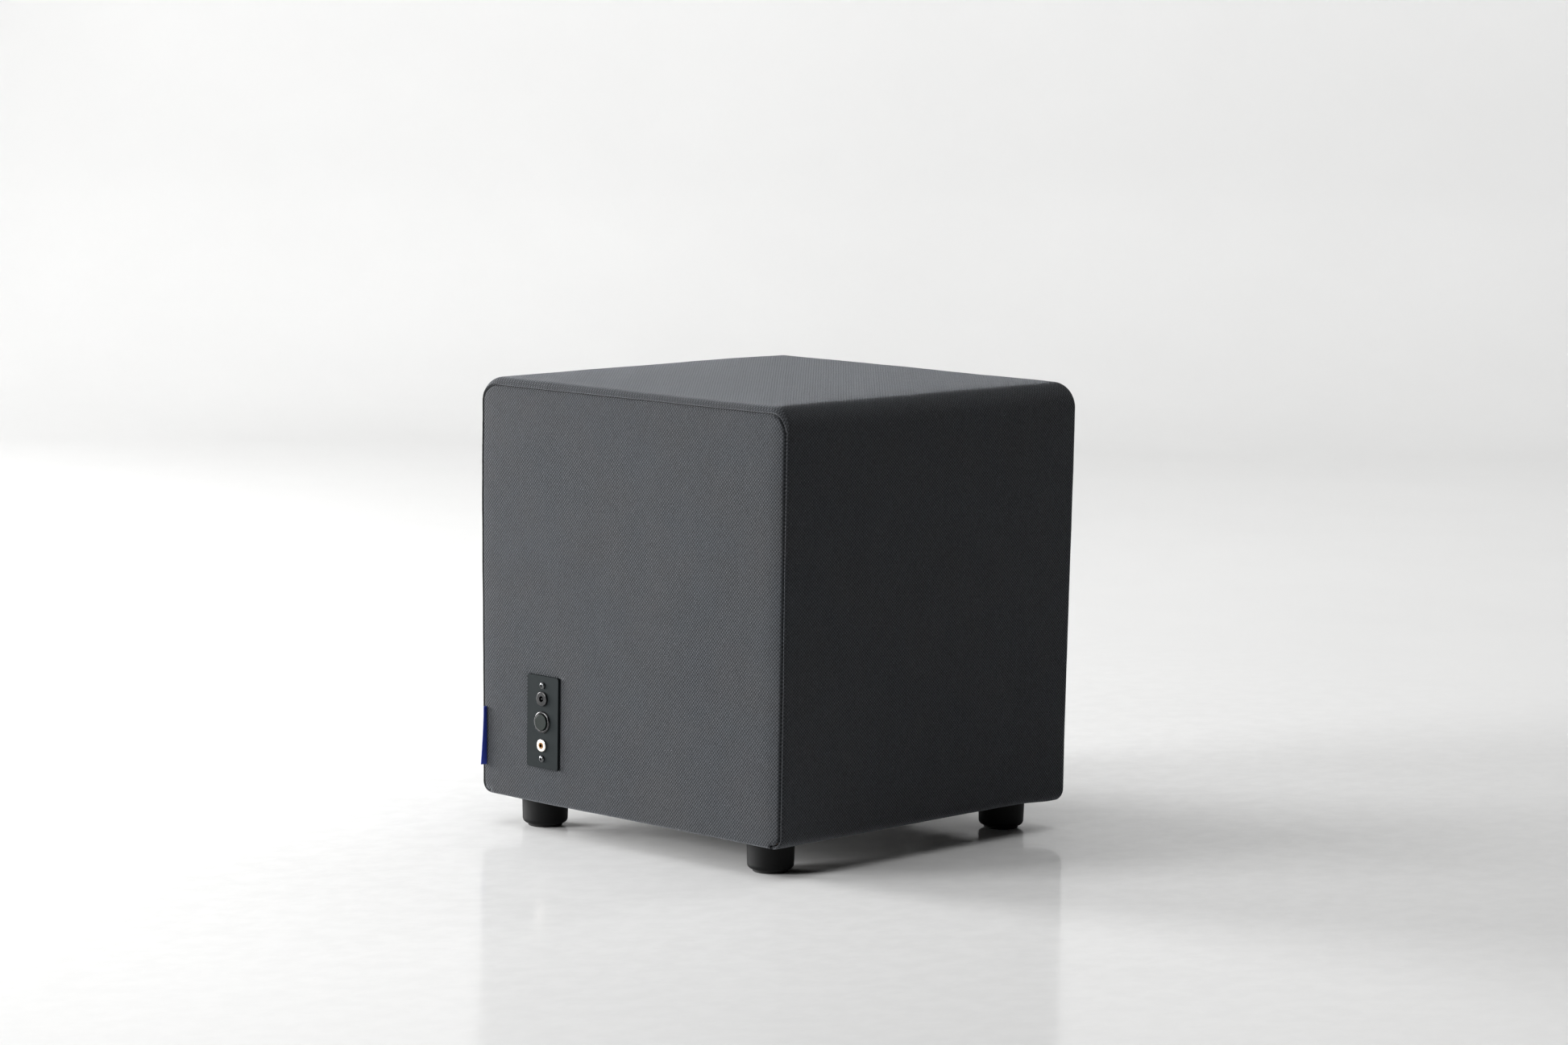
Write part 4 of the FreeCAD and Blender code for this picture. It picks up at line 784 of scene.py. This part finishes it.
def build_stitches(name, sign, material, swell):
    """Thread showing in the groove as short stitches, one piece for each face; their near-black
    colour also stands in as painted shade in the groove.
    """
    line = seam_line(sign)
    shown = sewn_share(line) > 0.5
    sunk = panel_roll(line) + notch_depth(line)
    points = []
    faces = []
    travelled = 0.0
    for index in range(len(line) - 1):
        step = line[index + 1] - line[index]
        reach = float(np.linalg.norm(step))
        while travelled < reach:
            if shown[index]:
                place = line[index] + step * (travelled / reach)
                place = place + OUTWARD[index] * 0.25 * MM
                along = step / reach
                depth = float(sunk[index]) - STITCH_RAISED
                add_stitch(points, faces, place, along, sign * (HALF_Y - depth))
            travelled += STITCH_PITCH
        travelled -= reach
    points = finish_fabric(np.array(points), swell)
    thread_and_seam_shade = mesh_object(name, points, faces)
    return dress(thread_and_seam_shade, material)


def add_stitch(points, faces, place, along, depth):
    """One stitch: a short bead, thinner at its ends. Its profile is place and radius in mm."""
    start = len(points)
    sides = 6
    profile = ((-1.2, 0.06), (-0.9, 0.36), (0.0, 0.46), (0.9, 0.36), (1.2, 0.06))
    for offset, radius in profile:
        centre = place + along * offset * MM
        for number in range(sides):
            angle = 2 * math.pi * number / sides
            side = radius * MM * math.cos(angle)
            proud = radius * MM * math.sin(angle)
            points.append((centre[0] - along[1] * side, depth + proud, centre[1] + along[0] * side))
    for ring in range(len(profile) - 1):
        for number in range(sides):
            after = (number + 1) % sides
            low = start + ring * sides
            faces.append((low + number, low + after, low + sides + after, low + sides + number))
    faces.append(tuple(start + sides - 1 - n for n in range(sides)))
    faces.append(tuple(start + (len(profile) - 1) * sides + n for n in range(sides)))


PLATE_GAP = 0.3 * MM


def build_cover(finishes):
    """Padding, the three pieces of fabric over it and the stitching in their seams, whose near-black
    colour is partly its own and partly painted shade of the groove.
    """
    swell = make_swell()
    cloth = finishes["grey_fabric"]
    build_padding(finishes["foam"])
    low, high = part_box("plate_gasket")
    opening = ((low.x - PLATE_GAP, high.x + PLATE_GAP), (low.z - PLATE_GAP, high.z + PLATE_GAP))
    front = build_panel("front_panel", -1.0, "cover_front_panel", cloth, swell, opening)
    rear = build_panel("rear_panel", 1.0, "cover_rear_panel", cloth, swell)
    band = build_band(cloth, swell)
    # Near-black stitching: partly its own colour, partly painted shade that darkens the seam's
    # groove.
    thread_and_seam_shade = plain_material("thread_and_seam_shade", (0.006, 0.006, 0.0065), 0.8, grain=3000, relief=0.1)
    build_stitches("front_stitches_seam_shade", -1.0, thread_and_seam_shade, swell)
    build_stitches("rear_stitches_seam_shade", 1.0, thread_and_seam_shade, swell)


# Label, dust cloth and the parts that flex.

RIBBON_TUCK = 3.0 * MM


def build_label(material):
    """Folded ribbon sewn into the left seam, which flares a little at its lower end."""
    low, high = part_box("side_label")
    base_x = (low.x + high.x) / 2
    rows = 26
    fold = 10
    points = []
    uvs = []
    for row in range(rows):
        share = row / (rows - 1)
        z = low.z + share * (high.z - low.z)
        flare = (1 - share) ** 1.6
        reach = 3.0 * MM + 0.8 * MM * flare + 0.2 * MM * math.sin(5 * share)
        gap = 0.6 * MM + 0.6 * MM * flare
        lean = 0.9 * MM - 2.6 * MM * flare + 0.4 * MM * math.sin(3.3 * share + 0.6)
        for step in range(2 * fold + 1):
            t = step / fold - 1
            out = 1 - abs(t) ** 2.6
            side = math.copysign(1, t) * (1 - (1 - abs(t)) ** 2.2)
            x = base_x + lean * out + gap * side * 0.5
            y = -HALF_Y + RIBBON_TUCK - (reach + RIBBON_TUCK) * out
            points.append((x, y, z))
            uvs.append((t * (reach + RIBBON_TUCK), z))
    across = 2 * fold + 1
    faces = [(r * across + c, r * across + c + 1, (r + 1) * across + c + 1, (r + 1) * across + c)
             for r in range(rows - 1) for c in range(across - 1)]
    label = mesh_object("ribbon_label", points, faces, uvs)
    solid = label.modifiers.new("Thickness", "SOLIDIFY")
    solid.thickness = 0.35 * MM
    solid.offset = 0.0
    dress(label, material, nodes=["side_label"])


def build_under_cloth(material):
    """Dust cloth stapled under the base, sagging a little between its staples."""
    low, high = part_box("bottom_cloth")
    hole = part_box("grille")[1].x - 12 * MM
    side = high.x
    columns = 96
    rings = 14
    points = []
    uvs = []
    for ring in range(rings + 1):
        share = ring / rings
        for number in range(columns):
            angle = 2 * math.pi * number / columns
            unit = np.array([math.cos(angle), math.sin(angle)])
            edge = unit * side / np.abs(unit).max()
            place = unit * hole * (1 - share) + edge * share
            sag = 0.9 * MM * math.sin(math.pi * share) ** 2
            ripple = 0.25 * MM * noise.noise(Vector((place[0] * 40, place[1] * 40, 0.5)))
            points.append((place[0], place[1], low.z + 0.3 * MM - sag - ripple * share))
            uvs.append((place[0], place[1]))
    faces = []
    for ring in range(rings):
        for number in range(columns):
            after = (number + 1) % columns
            faces.append((ring * columns + number, (ring + 1) * columns + number,
                          (ring + 1) * columns + after, ring * columns + after))
    cloth = mesh_object("under_cloth", points, [face[::-1] for face in faces], uvs)
    solid = cloth.modifiers.new("Thickness", "SOLIDIFY")
    solid.thickness = 0.4 * MM
    solid.offset = -1.0
    dress(cloth, material, nodes=["bottom_cloth"])


def lathe(name, profile, sides):
    """Turn a closed profile of radius and height round the Z axis."""
    points = []
    for number in range(sides):
        angle = 2 * math.pi * number / sides
        points.extend((r * math.cos(angle), r * math.sin(angle), z) for r, z in profile)
    count = len(profile)
    faces = []
    for number in range(sides):
        after = (number + 1) % sides
        for index in range(count):
            other = (index + 1) % count
            faces.append((number * count + index, after * count + index,
                          after * count + other, number * count + other))
    return mesh_object(name, points, faces)


def build_surround(material):
    """Rubber half roll round the cone."""
    low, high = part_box("surround")
    cone_low, cone_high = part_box("cone")
    gasket_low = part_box("woofer_basket")[0].z
    outer = high.x
    inner = cone_high.x
    thick = 1.0 * MM
    lap = 6 * MM
    steps = 18
    level = gasket_low - thick
    radius = level - low.z
    middle = inner + radius
    lip = cone_low.z
    profile = [(outer, gasket_low), (outer, level)]
    for step in range(steps + 1):
        angle = math.pi * step / steps
        profile.append((middle + radius * math.cos(angle), level - radius * math.sin(angle)))
    rise = np.linspace(level, lip - thick, 8)[1:]
    profile.extend((inner, z) for z in rise)
    profile.extend([(inner - lap, lip - thick), (inner - lap, lip), (inner + thick, lip)])
    profile.extend((inner + thick, z) for z in rise[::-1][1:])
    bead = radius - thick
    for step in range(steps + 1):
        angle = math.pi - math.pi * step / steps
        profile.append((middle + bead * math.cos(angle), level - bead * math.sin(angle)))
    profile.append((middle + bead, gasket_low))
    ring = lathe("rubber_surround", profile[::-1], 160)
    dress(ring, material, body=None, nodes=["surround"])
    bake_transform(ring)


SPIDER_WAVES = 5
SPIDER_SECTORS = 12
SPIDER_STEPS = 12
SPIDER_THICK = 0.8 * MM
SPIDER_RIM = 8 * MM
SPIDER_NECK = 4 * MM


def spider_section(low, high, inner, outer):
    """Closed section of the spider: rings of waves between its flat rim and its neck."""
    depth = high.z - low.z - SPIDER_THICK
    radii = np.linspace(inner, outer, 61)
    wavy = np.clip((radii - inner - SPIDER_NECK) / (outer - inner - SPIDER_NECK - SPIDER_RIM), 0, 1)
    dips = depth * (0.5 - 0.5 * np.cos(2 * math.pi * SPIDER_WAVES * wavy))
    top = [(radius, high.z - dip) for radius, dip in zip(radii, dips)]
    bottom = [(radius, z - SPIDER_THICK) for radius, z in top]
    return bottom + top[::-1]


def build_spider(material):
    """Wavy cloth disc glued to the coil, made of sectors that are joined into one."""
    low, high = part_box("spider")
    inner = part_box("coil_former")[1].x
    outer = high.x
    section = spider_section(low, high, inner, outer)
    count = len(section)
    width = 2 * math.pi / SPIDER_SECTORS
    faces = [(step * count + i, (step + 1) * count + i,
              (step + 1) * count + (i + 1) % count, step * count + (i + 1) % count)
             for step in range(SPIDER_STEPS) for i in range(count)]
    sectors = []
    for number in range(SPIDER_SECTORS):
        points = []
        for step in range(SPIDER_STEPS + 1):
            angle = (number + step / SPIDER_STEPS) * width
            points.extend((r * math.cos(angle), r * math.sin(angle), z) for r, z in section)
        sector = mesh_object("cloth_spider", points, faces)
        angle = (number + 0.5) * width
        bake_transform(sector)
        sectors.append(sector)
    spider = sectors[0]
    with bpy.context.temp_override(active_object=spider, selected_editable_objects=sectors):
        bpy.ops.object.join()
    weld = bmesh.new()
    weld.from_mesh(spider.data)
    bmesh.ops.remove_doubles(weld, verts=weld.verts[:], dist=0.01 * MM)
    weld.to_mesh(spider.data)
    weld.free()
    dress(spider, material, body=None, nodes=["spider"])


def build_spring(material):
    """Copy of the button's spring."""
    node = NODES["button_spring"]
    spring = link("return_spring", node.data.copy())
    dress(spring, material, body=None, nodes=["button_spring"])
    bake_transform(spring)


def soften_edges():
    """Small bevels, in mm, on the moulded and turned parts that show."""
    widths = {"control_plate": 0.7, "dc_socket": 0.6, "audio_jack_nut": 0.3, "button_bezel": 0.7,
              "button_cap": 0.5, "plate_screws": 0.3, "foot_pads": 0.5}
    for corner in ("front_left", "front_right", "rear_left", "rear_right"):
        widths[f"foot_{corner}"] = 2.0
    for name, width in widths.items():
        bevel = NODES[name].modifiers.new("Edge", "BEVEL")
        bevel.width = width * MM
        bevel.segments = 3
        bevel.limit_method = "ANGLE"
        bevel.angle_limit = math.radians(30)
        bevel.harden_normals = True


# Floor, light and camera.

CAMERA_AZIMUTH = 43.693
CAMERA_ELEVATION = 7.109
CAMERA_ROLL = 0.873
CAMERA_PLACE = (3.0513, -3.1856, 0.8467)
LENS = 106.0
SENSOR = 36.0


def camera_axes():
    """Directions from the cube to the camera, to its right and up, without its roll."""
    azimuth = math.radians(CAMERA_AZIMUTH)
    elevation = math.radians(CAMERA_ELEVATION)
    back = Vector((math.sin(azimuth) * math.cos(elevation),
                   -math.cos(azimuth) * math.cos(elevation), math.sin(elevation)))
    right = Vector((math.cos(azimuth), math.sin(azimuth), 0.0))
    return back, right, right.cross(-back)


def build_camera():
    """Camera at the photo's angle, distance and slight roll."""
    back, right, up = camera_axes()
    roll = math.radians(CAMERA_ROLL)
    across = math.cos(roll) * right + math.sin(roll) * up
    above = math.cos(roll) * up - math.sin(roll) * right
    data = bpy.data.cameras.new("camera")
    data.lens = LENS
    data.sensor_width = SENSOR
    data.clip_start = 0.05
    data.clip_end = 60.0
    camera = link("camera", data)
    turn = Matrix((across, above, back)).transposed().to_4x4()
    camera.matrix_world = Matrix.Translation(CAMERA_PLACE) @ turn
    bpy.context.scene.camera = camera


FLOOR_FRONT = -7.0
FLOOR_SIDE = 9.0
WALL_START = 3.4
WALL_RADIUS = 1.6
WALL_HIGH = 7.0


def floor_material():
    """Pale varnish: matt below, with a thin gloss that is uneven near the middle."""
    shader = Shader("painted_floor")
    turned = shader.node("ShaderNodeMapping", {
        "Vector": shader.place(), "Rotation": (0, 0, -math.radians(CAMERA_AZIMUTH)),
        "Scale": (14.0, 11.0, 1.0)}).outputs[0]
    grain = shader.noise(3.0, 4.0, 0.62, turned)
    away = shader.node("ShaderNodeVectorMath", {0: shader.place()}, operation="LENGTH")
    near = shader.ramp(away.outputs["Value"], 0.5, 1.5, 1.0, 0.0)
    uneven = shader.ramp(grain, 0.38, 0.62, -0.35, 0.35)
    flecks = shader.math("MULTIPLY_ADD", uneven, near, 0.5)
    broad = shader.noise(1.3, 4.0, 0.6)
    base = shader.mix(shader.math("MULTIPLY_ADD", flecks, 0.4, shader.math("MULTIPLY", broad, 0.6)),
                      colour(0.83, 0.83, 0.825), colour(0.96, 0.96, 0.955))
    relief = shader.bump(flecks, 0.12 * MM, 0.8)
    matt = shader.finish(Base_Color=base, Specular_IOR_Level=0.0, Roughness=0.9)
    gloss = shader.node("ShaderNodeBsdfGlossy", {
        "Color": colour(0.95, 0.95, 0.95), "Normal": relief,
        "Roughness": shader.math("MULTIPLY_ADD", flecks, 0.16, 0.04)})
    facing = shader.node("ShaderNodeLayerWeight", {"Blend": 0.5}).outputs["Facing"]
    share = shader.ramp(facing, 0.5, 0.95, 0.04, 0.19)
    both = shader.node("ShaderNodeMixShader", {
        0: share, 1: shader.surface.outputs["BSDF"], 2: gloss.outputs["BSDF"]})
    shader.feed(shader.tree.nodes["Material Output"].inputs["Surface"], both.outputs[0])
    return matt


def build_stage():
    """Pale floor that curves up into a wall far behind."""
    azimuth = math.radians(CAMERA_AZIMUTH)
    ahead = Vector((-math.sin(azimuth), math.cos(azimuth), 0.0))
    aside = Vector((math.cos(azimuth), math.sin(azimuth), 0.0))
    profile = [(FLOOR_FRONT, 0.0), (WALL_START, 0.0)]
    steps = 16
    for step in range(1, steps + 1):
        angle = math.radians(90 * step / steps)
        profile.append((WALL_START + WALL_RADIUS * math.sin(angle),
                        WALL_RADIUS * (1 - math.cos(angle))))
    profile.append((WALL_START + WALL_RADIUS, WALL_HIGH))
    points = []
    for along, up in profile:
        for side in (-FLOOR_SIDE, FLOOR_SIDE):
            points.append(ahead * along + aside * side + Vector((0, 0, up)))
    faces = [(2 * i, 2 * i + 1, 2 * i + 3, 2 * i + 2) for i in range(len(profile) - 1)]
    floor = mesh_object("floor", points, faces)
    floor.data.materials.append(floor_material())


def area_light(name, place, target, size, power):
    """Rectangular light at a place, turned towards a target."""
    data = bpy.data.lights.new(name, "AREA")
    data.shape = "RECTANGLE"
    data.size = size[0]
    data.size_y = size[1]
    data.energy = power
    light = link(name, data)
    light.location = place
    light.rotation_mode = "QUATERNION"
    light.rotation_quaternion = (Vector(target) - Vector(place)).to_track_quat("-Z", "Y")


def build_light():
    """Low window light from the left, and softer light over the floor and the wall."""
    world = bpy.data.worlds.new("room")
    world.use_nodes = True
    background = world.node_tree.nodes["Background"]
    background.inputs["Color"].default_value = (1.0, 1.0, 1.0, 1.0)
    background.inputs["Strength"].default_value = 0.005
    bpy.context.scene.world = world
    back, right, _ = camera_axes()
    behind = -Vector((back.x, back.y, 0)).normalized()
    high = Vector((0, 0, 3.4))
    wall = behind * 4.6 + Vector((0, 0, 0.9))
    cube = (0, 0, 0.22)
    area_light("low_window", (-3.9, -1.55, 0.85), cube, (2.0, 1.3), 286.0)
    area_light("near_window", (-1.9, -3.75, 0.95), cube, (1.6, 1.3), 186.0)
    area_light("ceiling", high - behind * 0.6 - right * 0.3, (0.2, -0.4, 0), (3.4, 3.4), 52.0)
    area_light("wall_left", high + behind * 2.2 - right * 2.2, wall - right * 0.2, (4, 2), 4.0)
    area_light("wall_right", high + behind * 2.2 + right * 2.6, wall + right * 0.8, (4, 2), 60.0)
    bpy.context.scene.view_settings.view_transform = "Standard"


build_camera()
build_light()
build_stage()
FINISHES = make_finishes()
dress_nodes(FINISHES)
soften_edges()
build_cover(FINISHES)
build_label(FINISHES["blue_ribbon"])
build_under_cloth(FINISHES["dust_cloth"])
build_surround(FINISHES["black_rubber"])
build_spider(FINISHES["spider_cloth"])
build_spring(FINISHES["zinc_steel"])
